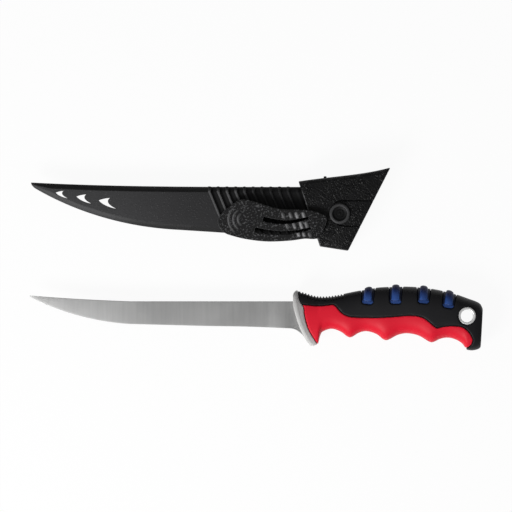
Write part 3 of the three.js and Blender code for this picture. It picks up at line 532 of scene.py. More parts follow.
floor_mesh = bmesh.new()
bmesh.ops.create_grid(floor_mesh, x_segments=1, y_segments=1, size=FLOOR_SIZE)
floor = bpy.data.objects.new("floor", bpy.data.meshes.new("floor"))
floor_mesh.to_mesh(floor.data)
floor_mesh.free()
floor.data.materials.append(floor_paint())
bpy.context.collection.objects.link(floor)
bpy.context.scene.world = soft_sky()

for name, (spot, size, power) in LAMPS.items():
    lamp = bpy.data.objects.new(name, bpy.data.lights.new(name, "AREA"))
    lamp.data.size = size
    lamp.data.energy = power
    lamp.location = spot
    lamp.rotation_euler = (-Vector(spot)).to_track_quat("-Z", "Y").to_euler()
    lamp.visible_camera = False
    bpy.context.collection.objects.link(lamp)
print("lamps:", len(LAMPS))

# %% [markdown]
# Most pieces here are either a skin over sections that follow each other, or an outline pushed out to a
# thickness. The skin starts from one ring of edges, which is extruded from station to station. The
# outline starts from one face, which is extruded once. Without heights it reaches far past the object
# on both sides, which is what a cutting tool needs.

# %% Make skins and blocks
FAR = 300
MERGE_REACH = 0.0001


def loft(rings):
    """A closed skin over rings of points that follow each other."""
    bm = bmesh.new()
    loop = [bm.verts.new(point) for point in rings[0]]
    edges = [bm.edges.new(pair) for pair in zip(loop, loop[1:] + loop[:1])]
    bm.faces.new(loop)
    for ring in rings[1:]:
        place = dict(zip(loop, ring))
        made = bmesh.ops.extrude_edge_only(bm, edges=edges)["geom"]
        follow = {}
        for vert in (item for item in made if isinstance(item, bmesh.types.BMVert)):
            others = (edge.other_vert(vert) for edge in vert.link_edges)
            old = next(other for other in others if other in place)
            vert.co = place[old]
            follow[old] = vert
        loop = [follow[old] for old in loop]
        edges = [bm.edges.get(pair) for pair in zip(loop, loop[1:] + loop[:1])]
    bm.faces.new(loop)
    bmesh.ops.recalc_face_normals(bm, faces=bm.faces)
    return bm


def block(outline, low=-FAR, high=FAR):
    """An outline pushed out from one height to another."""
    bm = bmesh.new()
    base = bm.faces.new([bm.verts.new((x, y, low)) for x, y in outline])
    made = bmesh.ops.extrude_face_region(bm, geom=[base])["geom"]
    raised = [item for item in made if isinstance(item, bmesh.types.BMVert)]
    bmesh.ops.translate(bm, vec=(0, 0, high - low), verts=raised)
    bmesh.ops.recalc_face_normals(bm, faces=bm.faces)
    return bm


def turned(profile, x, y, steps=64):
    """A closed profile of radius and height, spun round an upright axis."""
    bm = bmesh.new()
    loop = [bm.verts.new((radius, 0, height)) for radius, height in profile]
    edges = [bm.edges.new(pair) for pair in zip(loop, loop[1:] + loop[:1])]
    bmesh.ops.spin(bm, geom=loop + edges, axis=(0, 0, 1), cent=(0, 0, 0), angle=math.tau,
                   steps=steps, use_merge=True)
    bmesh.ops.remove_doubles(bm, verts=bm.verts, dist=MERGE_REACH)
    bmesh.ops.recalc_face_normals(bm, faces=bm.faces)
    bmesh.ops.translate(bm, vec=(x, y, 0), verts=bm.verts)
    return bm


# %% [markdown]
# Pieces that fit into each other are cut with Boolean modifiers. Soft moulded edges come from a Remesh
# modifier, which lays an even net of small faces over the shape, and a few rounds of smoothing, which
# draw its corners in. The modifiers run on a helper object, and only the finished mesh is kept.

# %% Cut and soften
def helper_object(bm):
    mesh = bpy.data.meshes.new("helper")
    bm.to_mesh(mesh)
    bm.free()
    helper = bpy.data.objects.new("helper", mesh)
    bpy.context.collection.objects.link(helper)
    return helper


def drop(helper):
    mesh = helper.data
    bpy.data.objects.remove(helper)
    bpy.data.meshes.remove(mesh)


def modified(bm, kind, **settings):
    helper = helper_object(bm)
    modifier = helper.modifiers.new(kind, kind)
    for key, value in settings.items():
        setattr(modifier, key, value)
    graph = bpy.context.evaluated_depsgraph_get()
    result = bmesh.new()
    result.from_mesh(helper.evaluated_get(graph).to_mesh())
    drop(helper)
    return result


def boolean(operation):
    def run(bm, *tools):
        for tool in tools:
            helper = helper_object(tool)
            bm = modified(bm, "BOOLEAN", object=helper, operation=operation, solver="EXACT")
            drop(helper)
        return bm

    return run


cut, joined, shared = [boolean(operation) for operation in ("DIFFERENCE", "UNION", "INTERSECT")]


def softened(bm, grid, rounds):
    bm = modified(bm, "REMESH", mode="VOXEL", voxel_size=grid)
    for _ in range(rounds):
        bmesh.ops.smooth_vert(bm, verts=bm.verts, factor=0.5, use_axis_x=True, use_axis_y=True,
                              use_axis_z=True)
    return bm


def gathered(parts):
    """Several meshes that do not touch, in one."""
    whole = bmesh.new()
    for part in parts:
        mesh = bpy.data.meshes.new("helper")
        part.to_mesh(mesh)
        part.free()
        whole.from_mesh(mesh)
        bpy.data.meshes.remove(mesh)
    return whole


def marked(made, name, value_at):
    """A number on every vertex of a piece, for its finish to read."""
    layer = made.data.attributes.new(name, "FLOAT", "POINT")
    for vert, item in zip(made.data.vertices, layer.data):
        item.value = value_at(vert.co)


# %% [markdown]
# Each finished mesh is in millimetres about its own origin. One function brings it into the frame,
# shades it smooth up to a chosen crease, and says which body it rides on and which nodes it stands for.

# %% Set a piece into the frame
GROUND_CREASE = 20
MOULDED_CREASE = 32
TURNED_CREASE = 40
SOFT_CREASE = 60


def piece(name, bm, origin, finish, nodes, body=None, crease=SOFT_CREASE):
    matrix = Matrix.Translation(origin) @ Matrix.Scale(MM, 4)
    bmesh.ops.transform(bm, matrix=matrix, verts=bm.verts)
    for face in bm.faces:
        face.smooth = True
    mesh = bpy.data.meshes.new(name)
    bm.to_mesh(mesh)
    bm.free()
    mesh.set_sharp_from_angle(angle=math.radians(crease))
    mesh.materials.append(finish)
    made = bpy.data.objects.new(name, mesh)
    bpy.context.collection.objects.link(made)
    if body:
        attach(made, body)
    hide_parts(*nodes)
    print("piece:", name, len(mesh.polygons), "faces")
    return made


# %% [markdown]
# A few points are enough to describe a smooth line. Some lines are a height along the length, others
# run freely through their points. A closed line can also be grown, to give a fit its room.

# %% Draw smooth lines
SHARPEST_CORNER = 0.4


def between(low, high, share):
    return low + (high - low) * share


def clamp(value):
    return min(max(value, 0), 1)


def eased(low, high, value):
    share = clamp((value - low) / (high - low))
    return share * share * (3 - 2 * share)


def steps(start, end, step):
    count = max(1, round((end - start) / step))
    return [between(start, end, i / count) for i in range(count + 1)]


def along(stations):
    """A smooth height along X through a few stations."""
    def slope(i):
        (x0, y0), (x1, y1) = stations[max(i - 1, 0)], stations[min(i + 1, len(stations) - 1)]
        return (y1 - y0) / (x1 - x0)

    def height(x):
        i = sum(1 for station in stations[1:-1] if x > station[0])
        (x0, y0), (x1, y1) = stations[i], stations[i + 1]
        t = clamp((x - x0) / (x1 - x0))
        lead = t * (1 - t) ** 2 * slope(i) - t * t * (1 - t) * slope(i + 1)
        return between(y0, y1, t * t * (3 - 2 * t)) + (x1 - x0) * lead

    return height


def through(points, count, closed=False):
    """Points on a smooth line that runs through a few."""
    nodes = [Vector(point) for point in points]
    if closed:
        nodes = [nodes[-1], *nodes, nodes[0], nodes[1]]
    else:
        nodes = [2 * nodes[0] - nodes[1], *nodes, 2 * nodes[-1] - nodes[-2]]
    spans = len(nodes) - 3
    line = []
    for i in range(count if closed else count + 1):
        span = min(spans * i // count, spans - 1)
        t = spans * i / count - span
        a, b, c, d = nodes[span:span + 4]
        bend = (2 * a - 5 * b + 4 * c - d) * t ** 2 + (3 * b - a - 3 * c + d) * t ** 3
        line.append(tuple(b + ((c - a) * t + bend) / 2))
    return line


def grown(outline, distance):
    """An anticlockwise outline, moved outwards."""
    points = [Vector(point) for point in outline]
    moved = []
    for before, point, after in zip(points[-1:] + points[:-1], points, points[1:] + points[:1]):
        first = (point - before).normalized()
        second = (after - point).normalized()
        normal = Vector((first.y + second.y, -first.x - second.x)).normalized()
        reach = distance / max(SHARPEST_CORNER, normal.dot(Vector((first.y, -first.x))))
        moved.append(tuple(point + normal * reach))
    return moved


def read_off(line, place):
    """The height at a place, on a line of points that follow each other along X."""
    i = min(max(sum(1 for x, _ in line if x < place), 1), len(line) - 1)
    (x0, y0), (x1, y1) = line[i - 1], line[i]
    return between(y0, y1, clamp((place - x0) / (x1 - x0)))


def swept(start, end, bends, count=200):
    """A height along X on one curve between two points, bent towards two shares of its run."""
    knots = [Vector((between(start[0], end[0], u), between(start[1], end[1], v), 0)) for u, v in bends]
    curve = interpolate_bezier((*start, 0), *knots, (*end, 0), count)
    line = sorted((point.x, point.y) for point in curve)
    return lambda x: read_off(line, x)


# %% [markdown]
# The guard is a pale collar between the blade and the grip. It curves round the finger, so its front and
# its back are drawn as lines seen from the side, and everything near it is cut along the same two lines.

# %% Draw the guard's two lines
CLEARANCE = 0.3
GUARD_FRONT = through([(2.6, 8), (0.1, 5.4), (-0.3, 1.7), (0.3, -4.8), (2.3, -12.1), (4.8, -18.9),
                       (8.55, -26.2), (10.7, -28.9), (12.2, -30.8)], 40)
GUARD_BACK = through([(3, 8), (3.2, 5), (3.6, 2), (4.9, -1.2), (6.65, -3.8), (7.15, -8.4),
                      (7.95, -12.4), (10, -19), (13.7, -25.3), (17, -30.4)], 40)
print("guard lines:", len(GUARD_FRONT), "and", len(GUARD_BACK), "points")


def behind(line, shift):
    """All that lies to the right of one of the guard's lines."""
    moved = [(x + shift, y) for x, y in line]
    top = (moved[0][0], FAR)
    bottom = (moved[-1][0], -FAR)
    return block([top, *moved, bottom, (FAR, -FAR), (FAR, FAR)])


# %% [markdown]
# The blade is a long flat wedge with a rounded spine, ground thin towards an edge that has a narrow
# bevel of its own. One section changes along the length: it grows lower at the belly, thinner at the
# tip, and full again at the short square part in front of the guard. The bevel keeps its slope to the
# tip, so that it does not flash there.

# %% Draw the blade
BLADE_HEEL = 18.2
BLADE_FORE = 15.3
BELLY_START = 68 - BLADE_LENGTH
TIP_HEIGHT = 0.6
SPINE_HALF = 1.0
TIP_HALF = 0.1
FLANK_SLOPE = 0.06
EDGE_HALF = 0.05
BEVEL_HALF = 0.2
BEVEL_HEIGHT = 1.2
SPINE_ROUND = 0.3
ROUND_SHARE = 0.3
RICASSO = 3
PLUNGE = 15
CHOIL_REACH = 10
CHOIL_DROP = 9.4
CHOIL_CURVE = 2.2

spine_line = swept((BELLY_START, 0), (-BLADE_LENGTH, TIP_RISE), ((0.333, 0.2), (0.667, 0.525)))
belly_line = swept((BELLY_START, -BLADE_FORE), (-BLADE_LENGTH, TIP_RISE - TIP_HEIGHT),
                   ((0.32, 0.06), (0.71, 0.42)))
edge_line = along([(BELLY_START, -BLADE_FORE), (-BLADE_LENGTH / 3, -16.6), (-31, -17.1),
                   (-RICASSO, -BLADE_HEEL)])


def blade_bottom(x):
    if x < BELLY_START:
        return belly_line(x)
    choil = clamp((x + RICASSO) / (CHOIL_REACH + RICASSO))
    return edge_line(x) - CHOIL_DROP * choil ** CHOIL_CURVE


def both_sides(near):
    """Points on the near side, and the same on the far side."""
    return near + [(x, y, -z) for x, y, z in reversed(near)]


def blade_ring(x):
    top = spine_line(x) if x < BELLY_START else 0
    bottom = blade_bottom(x)
    tall = top - bottom
    spine = min(SPINE_HALF, TIP_HALF + FLANK_SLOPE * tall)
    ground = eased(RICASSO, RICASSO + PLUNGE, -x)
    bevel = min(BEVEL_HEIGHT, tall / 3)
    bevel_half = between(EDGE_HALF, BEVEL_HALF, bevel / BEVEL_HEIGHT)
    soft = min(SPINE_ROUND, tall / 4, spine / 2)
    edge = bottom + bevel
    side = [(top, spine - soft), (top - soft * ROUND_SHARE, spine - soft * ROUND_SHARE),
            (top - soft, spine), (edge, between(spine, bevel_half, ground)),
            (bottom, between(spine, EDGE_HALF, ground))]
    return both_sides([(x, y, z) for y, z in side])


# %% [markdown]
# Stations stand closer together where the section changes fast, at the tip and at the heel. The heel is
# cut off inside the guard, and the hidden tang is a plain bar with two peg holes.

# %% Model the blade
TIP_STEP, FLAT_STEP, HEEL_STEP = 1.5, 5, 0.7
INTO_GUARD = 1.2
TANG_HEIGHT = 10
TANG_TOP = -3.6
TANG_BOTTOM = TANG_TOP - TANG_HEIGHT
TANG_LENGTH = 100.8
TANG_NOSE = 2.5
TANG_PEGS = (36, 76)
TANG_PEG_HOLE = 2.5
PEG_SIDES = 24


def blade_mesh():
    plunge_start = -RICASSO - PLUNGE
    places = [*steps(-BLADE_LENGTH, BELLY_START, TIP_STEP),
              *steps(BELLY_START, plunge_start, FLAT_STEP)[1:],
              *steps(plunge_start, CHOIL_REACH, HEEL_STEP)[1:]]
    nose = TANG_LENGTH - TANG_NOSE
    tang = [(0, TANG_TOP), (0, TANG_BOTTOM), (nose, TANG_BOTTOM), (TANG_LENGTH, TANG_BOTTOM + TANG_NOSE),
            (TANG_LENGTH, TANG_TOP - TANG_NOSE), (nose, TANG_TOP)]
    middle = TANG_TOP - TANG_HEIGHT / 2
    peg = [(0, -FAR), (TANG_PEG_HOLE, -FAR), (TANG_PEG_HOLE, FAR), (0, FAR)]
    holes = [turned(peg, x, middle, PEG_SIDES) for x in TANG_PEGS]
    body = cut(loft([blade_ring(x) for x in places]), behind(GUARD_FRONT, INTO_GUARD))
    return cut(joined(body, block(tang, -SPINE_HALF, SPINE_HALF)), *holes)


piece("blade_satin", blade_mesh(), KNIFE, STEEL, ["blade"], "knife", GROUND_CREASE)

# %% [markdown]
# In section the grip is a rounded rectangle, which a superellipse draws with one number for its
# squareness. Three lines along the length give its back, its belly and its half width. All the parts
# of the grip are cut from this one volume, so they stay flush with each other.

# %% Draw the grip's volume
SQUARENESS = 2.7
BACK = along([(0, 7.5), (6.5, 6.1), (14.6, 3.7), (22, 3.3), (31, 4.45), (39, 6.15), (46, 7.5),
              (56, 9.2), (63, 9.7), (74, 10.0), (84, 9.6), (93, 8.55), (101, 7.05), (110, 4.75),
              (118, 1.9), (123.5, -0.1), (126.4, -1.9), (127.9, -5)])
BELLY = along([(0, -29.45), (15.2, -29.7), (16.8, -28.9), (17.7, -25), (18.25, -22), (20.3, -20.2),
               (25.8, -18.55), (32.2, -20.6), (36.3, -23.7), (38.4, -24.45), (40.4, -23.65),
               (44.3, -21.25), (49.6, -20.2), (56.5, -22.35), (60.5, -25.55), (62.7, -26.35),
               (65, -25.6), (70.7, -22.65), (77, -21.6), (84.8, -23.25), (91, -26.9), (93.2, -27.75),
               (95.4, -27.2), (99, -25.4), (104.2, -24.55), (109.1, -25.6), (113.2, -27.85),
               (115.3, -30), (116.7, -32.4), (118.4, -33), (121.6, -33.1), (126, -31.6),
               (127.9, -28.5)])
HALF_WIDTH = along([(0, 9.4), (20, 9.7), (40, 10.4), (56, 11.2), (85, 12.8), (105, 12.7), (122, 11),
                    (127.9, 8.6)])
GRIP_LENGTH = 127.9
BUTT_LEAN = math.tan(math.radians(3.2))
OVERLAP = 0.1
COVER = 3
EYELET_X = GRIP_LENGTH - 10.8
EYELET_Y = -9.85
CORE_END = EYELET_X - 8.0
CORE_STEP = 4


def oval(x, top, bottom, half, count=56):
    def bent(value):
        return math.copysign(abs(value) ** (2 / SQUARENESS), value)

    turns = [math.tau * i / count for i in range(count)]
    tall = (top - bottom) / 2
    return [(x, bottom + tall * (1 + bent(math.cos(turn))), half * bent(math.sin(turn)))
            for turn in turns]


def grip_volume(depth=0.0, belly_depth=0.0, end=GRIP_LENGTH, step=1.2, back_share=1.0):
    """The grip's volume, with its skin drawn in by a depth."""
    return loft([oval(x, BACK(x) - depth * back_share, BELLY(x) + belly_depth, HALF_WIDTH(x) - depth)
                 for x in steps(0, end, step)])


def past_butt():
    def lean(y):
        return GRIP_LENGTH + (y - BACK(GRIP_LENGTH)) * BUTT_LEAN, y

    return block([lean(-FAR), (2 * FAR, -FAR), (2 * FAR, FAR), lean(FAR)])


def grip_outer(start):
    return shared(cut(grip_volume(), past_butt()), behind(GUARD_BACK, start))


def core_room():
    return grip_volume(COVER, COVER, CORE_END, CORE_STEP)


print("grip:", GRIP_LENGTH, "mm long, eyelet at", EYELET_X, EYELET_Y)

# %% [markdown]
# The guard has a bright rounded bead at its front and a band behind it that falls away to the grip. The
# band is a stair of four slightly smaller ovals, and the smoothing runs them into one slope.

# %% Model the guard
GUARD_TOP = 7.5
GUARD_BOTTOM = -30.1
GUARD_HALF = 11
BEAD_WIDTH = 2.3
BAND_STEPS = 4
BAND_STEP = 1.1
BAND_DROP = 0.35
BAND_FALL = 0.42
BAND_OPEN, BAND_CLOSE = 1, 2
BELLY_SHARE = 0.7
GUARD_GRID = 0.3
GUARD_ROUNDS = 7
FRONT_LINE = [(-y, x) for x, y in GUARD_FRONT]


def guard_slice(drop_in, start):
    top, bottom = GUARD_TOP - drop_in, GUARD_BOTTOM + BELLY_SHARE * drop_in
    whole = loft([oval(x, top, bottom, GUARD_HALF - drop_in) for x in (-GUARD_HALF, FAR)])
    return shared(whole, behind(GUARD_FRONT, start))


def guard_mesh():
    bead = cut(guard_slice(0, 0), behind(GUARD_FRONT, BEAD_WIDTH))
    band = [guard_slice(BAND_DROP + BAND_FALL * i, BAND_OPEN + BAND_STEP * i) for i in range(BAND_STEPS)]
    stair = [cut(part, behind(GUARD_FRONT, BAND_CLOSE + BAND_STEP * (i + 1)))
             for i, part in enumerate(band[:-1])]
    whole = joined(bead, *stair, band[-1])
    top, bottom = TANG_TOP + CLEARANCE, TANG_BOTTOM - CLEARANCE
    slot = block([(-FAR, top), (-FAR, bottom), (FAR, bottom), (FAR, top)],
                 -SPINE_HALF - CLEARANCE, SPINE_HALF + CLEARANCE)
    return cut(softened(cut(whole, behind(GUARD_BACK, 0)), GUARD_GRID, GUARD_ROUNDS), slot)


def behind_front(point):
    local = (point - KNIFE) / MM
    return local.x - read_off(FRONT_LINE, -local.y)


guard = piece("guard_moulding", guard_mesh(), KNIFE, GUARD, ["guard"], "knife")
marked(guard, "behind_front", behind_front)

# %% [markdown]
# Four blue saddles sit in pockets across the back. Each is a base that is let in a little below the
# cover, with a ridge on it that starts narrow and round at the crown and widens to its foot.

# %% Draw the saddles
SADDLES = [(50.6, -4, 10.2), (69.2, -2, 11.6), (88.2, -2.5, 10.6), (105.7, -8, 10.5)]
BASE = (9, 7.6, 0)
RIDGE = (4.9, 5.6, 2.2)
SADDLE_CORNER = 1.2
SADDLE_PROUD = 1.5
SADDLE_SUNK = 1.0
SUNK_AT_BACK = 0.2
SADDLE_DEPTH = 1.7
FLANK_PROUD = 0.8
CROWN_REACH = 2.8
FLANK_REACH = 3.4
SADDLE_STEP = 0.4


def saddle_outline(saddle, shape, room):
    x, turn, drop_down = saddle
    crown, foot, lift = shape
    low = lift - drop_down
    right = [(foot / 2 - SADDLE_CORNER, low), (foot / 2, low + SADDLE_CORNER), (crown / 2, 0),
             (crown / 2, SADDLE_PROUD + SADDLE_DEPTH)]
    left = [(-u, v) for u, v in reversed(right)]
    spin = Matrix.Rotation(math.radians(turn), 2)
    middle = Vector((x, BACK(x)))
    return [tuple(spin @ Vector(point) + middle) for point in grown(right + left, room)]


def swell(distance, reach):
    return math.sqrt(max(0, 1 - (distance / reach) ** 2))


def saddle_crown(place):
    rings = []
    for x in steps(place - FLANK_REACH, place + FLANK_REACH, SADDLE_STEP):
        crown = (SADDLE_PROUD + SUNK_AT_BACK) * swell(x - place, CROWN_REACH) - SUNK_AT_BACK
        flank = (FLANK_PROUD + SADDLE_SUNK) * swell(x - place, FLANK_REACH) - SADDLE_SUNK
        rings.append(oval(x, BACK(x) + crown, BELLY(x), HALF_WIDTH(x) + flank))
    return loft(rings)


# %% [markdown]
# The base is cut from a skin just below the cover's, the ridge from one that swells above it, and both
# are hollowed by a deeper one. The cover gets a pocket of the same outline with a little room. Each
# vertex is marked with how far it belongs to the ridge, or to the base's foot, which gets painted light.
# The rest of the base keeps the finish's painted shade.

# %% Model the saddles
SADDLE_GRID = 0.22
SADDLE_ROUNDS = 2
TONE_EDGE = 0.8
FOOT_PAINTED_LIGHT = 0.75
FOOT_EDGE = 0.3


def saddle_mesh(saddle):
    base_skin = grip_volume(SADDLE_SUNK, back_share=SUNK_AT_BACK / SADDLE_SUNK)
    base = shared(base_skin, block(saddle_outline(saddle, BASE, 0)))
    ridge = shared(saddle_crown(saddle[0]), block(saddle_outline(saddle, RIDGE, 0)))
    return softened(cut(joined(base, ridge), grip_volume(SADDLE_DEPTH - CLEARANCE)),
                    SADDLE_GRID, SADDLE_ROUNDS)


def saddle_pocket(saddle):
    return cut(block(saddle_outline(saddle, BASE, CLEARANCE)), grip_volume(SADDLE_DEPTH))


def saddle_painted_light(saddle):
    x, turn, drop_down = saddle
    crown, foot, lift = RIDGE
    unspin = Matrix.Rotation(math.radians(-turn), 2)

    def raised(point):
        local = unspin @ (((point - KNIFE) / MM).xy - Vector((x, BACK(x))))
        half = between(crown, foot, clamp(-local.y / drop_down)) / 2
        above_foot = local.y + drop_down - lift
        across = clamp(0.5 + (half - abs(local.x)) / TONE_EDGE)
        ridge = across * clamp(0.5 + above_foot / TONE_EDGE)
        # The ridge counts fully. The base's foot gets a share as painted light, and the rest of the base
        # gets none, which leaves it in painted shade.
        return max(ridge, FOOT_PAINTED_LIGHT * clamp(FOOT_EDGE - above_foot))

    return raised


for number, saddle in enumerate(SADDLES, 1):
    made = piece(f"saddle_{number}", saddle_mesh(saddle), KNIFE, BLUE,
                 [f"grip_lug_{number}"], "knife")
    marked(made, "raised", saddle_painted_light(saddle))

# %% [markdown]
# The red grip and the black cover meet along one line on the flank, with a fine groove between them. The
# black rubber runs on a little way under the red, so the floor of that groove is black, and the same
# neck of black shows behind the guard. The bed of the groove stays clear of the eyelet's bore, which has
# a wider seat at each end for the rings.

# %% Draw the bore and the bed of the seam
EYELET_HOLE = 4.3
EYELET_TUBE = 4.9
EYELET_FLANGE = 5.9
EYELET_THICK = 0.9
EYELET_SUNK = 0.7
EYELET_HALF = HALF_WIDTH(EYELET_X) - EYELET_SUNK
SEAM_GAP = 0.5
BED_DEPTH = 0.9
BED_REACH = 0.9
GRIP_EDGE_TOP = -2.35
GRIP_EDGE = through([(4, GRIP_EDGE_TOP), (8, -2.55), (13, -3.0), (18, -3.15), (23, -2.8), (26.6, -2.35),
                     (28.2, -3.1), (29.4, -4.4), (30.9, -6.3), (33, -8.3), (35.4, -9.65),
                     (39.4, -10.75), (48, -11.05), (56.5, -11.15), (63, -10.85), (70, -10.35),
                     (78.5, -9.7), (84.5, -10.3), (89, -12.2), (95.2, -17.2), (97.6, -18.1),
                     (104, -16.85), (112.9, -17.25), (118, -20.6), (120.8, -25.6), (120.4, -28.2),
                     (119.2, -29.8), (117.4, -30.9), (115, -31.8)], 120)
GRIP_OUTLINE = [(-FAR, -FAR), (GRIP_EDGE[-1][0], -FAR), *reversed(GRIP_EDGE), (-FAR, GRIP_EDGE_TOP)]


def eyelet_bore():
    floor_at = EYELET_HALF - EYELET_THICK - CLEARANCE
    tube, seat = EYELET_TUBE + CLEARANCE, EYELET_FLANGE + CLEARANCE
    profile = [(0, -FAR), (seat, -FAR), (seat, -floor_at), (tube, -floor_at), (tube, floor_at),
               (seat, floor_at), (seat, FAR), (0, FAR)]
    return turned(profile, EYELET_X, EYELET_Y)


def seam_bed():
    inside = shared(block(grown(GRIP_OUTLINE, -BED_REACH), -2 * FAR, 2 * FAR),
                    behind(GUARD_BACK, BED_REACH + SEAM_GAP))
    skin = shared(grip_volume(BED_DEPTH, BED_DEPTH), behind(GUARD_BACK, -OVERLAP),
                  block(grown(GRIP_OUTLINE, BED_REACH)))
    return cut(skin, inside, past_butt(), eyelet_bore())


BED = seam_bed()
print("bed of the seam:", len(BED.faces), "faces")

# %% [markdown]
# The black cover is the rest of the volume. It is softened with its pockets and the eyelet's bore
# already cut, so that their rims are round too. The teeth of the thumb rest are finer than the net of
# faces, so they are cut afterwards and stay crisp.

# %% Model the black cover
GRIP_GRID = 0.42
GRIP_ROUNDS = 4
TOOTH_PITCH = 2.0
TOOTH_COUNT = 15
TOOTH_DEPTH = 0.75
TOOTH_REACH = 3.4
TOOTH_GAP = 0.85
TOOTH_FLARE = 1.4
TOOTH_ABOVE = 2
TOOTH_PAST = 5
FIRST_TOOTH = 5.4


def tooth_notches():
    places = [FIRST_TOOTH + i * TOOTH_PITCH for i in range(TOOTH_COUNT)]
    half = TOOTH_GAP / 2
    wide = half * TOOTH_FLARE
    gaps = []
    for x in places:
        low, high = BACK(x) - TOOTH_REACH, BACK(x) + TOOTH_ABOVE
        outline = [(x - half, low), (x + half, low), (x + wide, high), (x - wide, high)]
        gaps.append(block(outline, -GUARD_HALF, GUARD_HALF))
    return cut(gathered(gaps), grip_volume(TOOTH_DEPTH, end=places[-1] + TOOTH_PAST))


def back_cover_mesh():
    grip_room = block(grown(GRIP_OUTLINE, SEAM_GAP))
    pockets = gathered([saddle_pocket(saddle) for saddle in SADDLES])
    body = cut(grip_outer(-OVERLAP), grip_room, eyelet_bore(), pockets)
    whole = joined(cut(softened(body, GRIP_GRID, GRIP_ROUNDS), tooth_notches()), BED.copy())
    return cut(whole, core_room())


piece("back_cover_rubber", back_cover_mesh(), KNIFE, BLACK, ["back_cover"], "knife")

# %% [markdown]
# The red finger grip fills what the cover leaves free. It is softened too, so its edge along the seam is
# round and catches a line of light.

# %% Model the red finger grip
def finger_grip_mesh():
    body = shared(grip_outer(SEAM_GAP), block(GRIP_OUTLINE))
    return cut(softened(body, GRIP_GRID, GRIP_ROUNDS), BED, core_room())


piece("finger_grip_rubber", finger_grip_mesh(), KNIFE, RED, ["finger_grip"], "knife")

# %% [markdown]
# The eyelet is a short tube with a rolled lip, closed by a washer on the far side. Both are turned
# pieces, so a profile spun round the hole's axis makes them in one step. The core inside the grip keeps
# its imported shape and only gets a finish.

# %% Model the eyelet and finish the core
LIP = 0.45
LIP_MIDDLE = LIP * ROUND_SHARE
inner_face = EYELET_HALF - EYELET_THICK
lip_profile = [(EYELET_HOLE, -EYELET_HALF), (EYELET_HOLE, EYELET_HALF - LIP),
               (EYELET_HOLE + LIP_MIDDLE, EYELET_HALF - LIP_MIDDLE), (EYELET_HOLE + LIP, EYELET_HALF),
               (EYELET_FLANGE - LIP, EYELET_HALF), (EYELET_FLANGE - LIP_MIDDLE, EYELET_HALF - LIP_MIDDLE),
               (EYELET_FLANGE, EYELET_HALF - LIP), (EYELET_FLANGE, inner_face), (EYELET_TUBE, inner_face),
               (EYELET_TUBE, -EYELET_HALF)]
washer_hole = EYELET_TUBE + CLEARANCE
washer_profile = [(washer_hole, -EYELET_HALF), (EYELET_FLANGE - LIP, -EYELET_HALF),
                  (EYELET_FLANGE, LIP - EYELET_HALF), (EYELET_FLANGE, -inner_face),
                  (washer_hole, -inner_face)]
piece("eyelet_ring", turned(lip_profile, EYELET_X, EYELET_Y), KNIFE, EYELET,
      ["lanyard_eyelet"], "knife", TURNED_CREASE)
piece("washer_ring", turned(washer_profile, EYELET_X, EYELET_Y), KNIFE, EYELET,
      ["eyelet_washer"], "knife", TURNED_CREASE)
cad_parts["handle_core"].data.materials.clear()
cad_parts["handle_core"].data.materials.append(CORE)

# %% [markdown]
# The scabbard is a flat sleeve with chamfered edges that narrows to the tip. Its sections are rings
# again. Towards the collar the rings lean over below the back's bevel, so that they run parallel to the
# slanted ribs, and a rib is only a few rings that stand a little further out. An inner skin of the same
# kind cuts the hollow.

# %% Draw the scabbard
SCABBARD_TIP = (scabbard_low.x - SHEATH.x) / MM
SCABBARD_END = 12
SCABBARD_BELLY = SCABBARD_TIP + 100
SCABBARD_FORE = 29.0
SCABBARD_MOUTH = 34.2
SCABBARD_TIP_HEIGHT = 2.4
SCABBARD_HALF = 4.8
SCABBARD_TIP_HALF = 2.8
SCABBARD_EDGE_HALF = 1.9
SCABBARD_WALL = 1.8
TIP_WALL = 3.6
TIP_NOSE = 3.0
NOSE_SHARE = 0.35
THINNEST_EDGE = 0.4
CHAMFER = 3.3
CHAMFER_PER_ROOM = 0.4
CHAMFER_SHARE = 0.36
EDGE_DROP, EDGE_SWELL = 0.16, 0.3
FACE_SOFT, FACE_SOFT_SHARE, FACE_FALL = 0.7, 0.05, 0.05
LEAN_ROUNDS = 6
SWEEP = 3.2
LEAN_START = -118
LEAN_FULL = -72
RIB_COUNT = 10
RIB_WIDTH = 2.1
RIB_HALF = RIB_WIDTH / 2 / math.cos(COLLAR_LEAN)
RIB_HEIGHT = 0.9
RIB_AT_BACK = 0.35
RIB_SHARES = (-1.0, -0.92, -0.7, -0.35, 0.0, 0.35, 0.7, 0.92, 1.0)
NOSE_STEP, SMOOTH_STEP, RIB_STEP = 0.5, 2.0, 3.0

scabbard_belly_line = swept((SCABBARD_BELLY, -SCABBARD_FORE),
                            (SCABBARD_TIP, SCABBARD_TIP_RISE - SCABBARD_TIP_HEIGHT),
                            ((0.38, 0.06), (0.72, 0.43)))


def scabbard_back(x):
    return SCABBARD_TIP_RISE * clamp(x / SCABBARD_TIP) ** SWEEP


def scabbard_edge(x):
    if x < SCABBARD_BELLY:
        return scabbard_belly_line(x)
    slope = (SCABBARD_MOUTH - SCABBARD_FORE) / -SCABBARD_BELLY
    return -SCABBARD_FORE - slope * (x - SCABBARD_BELLY)


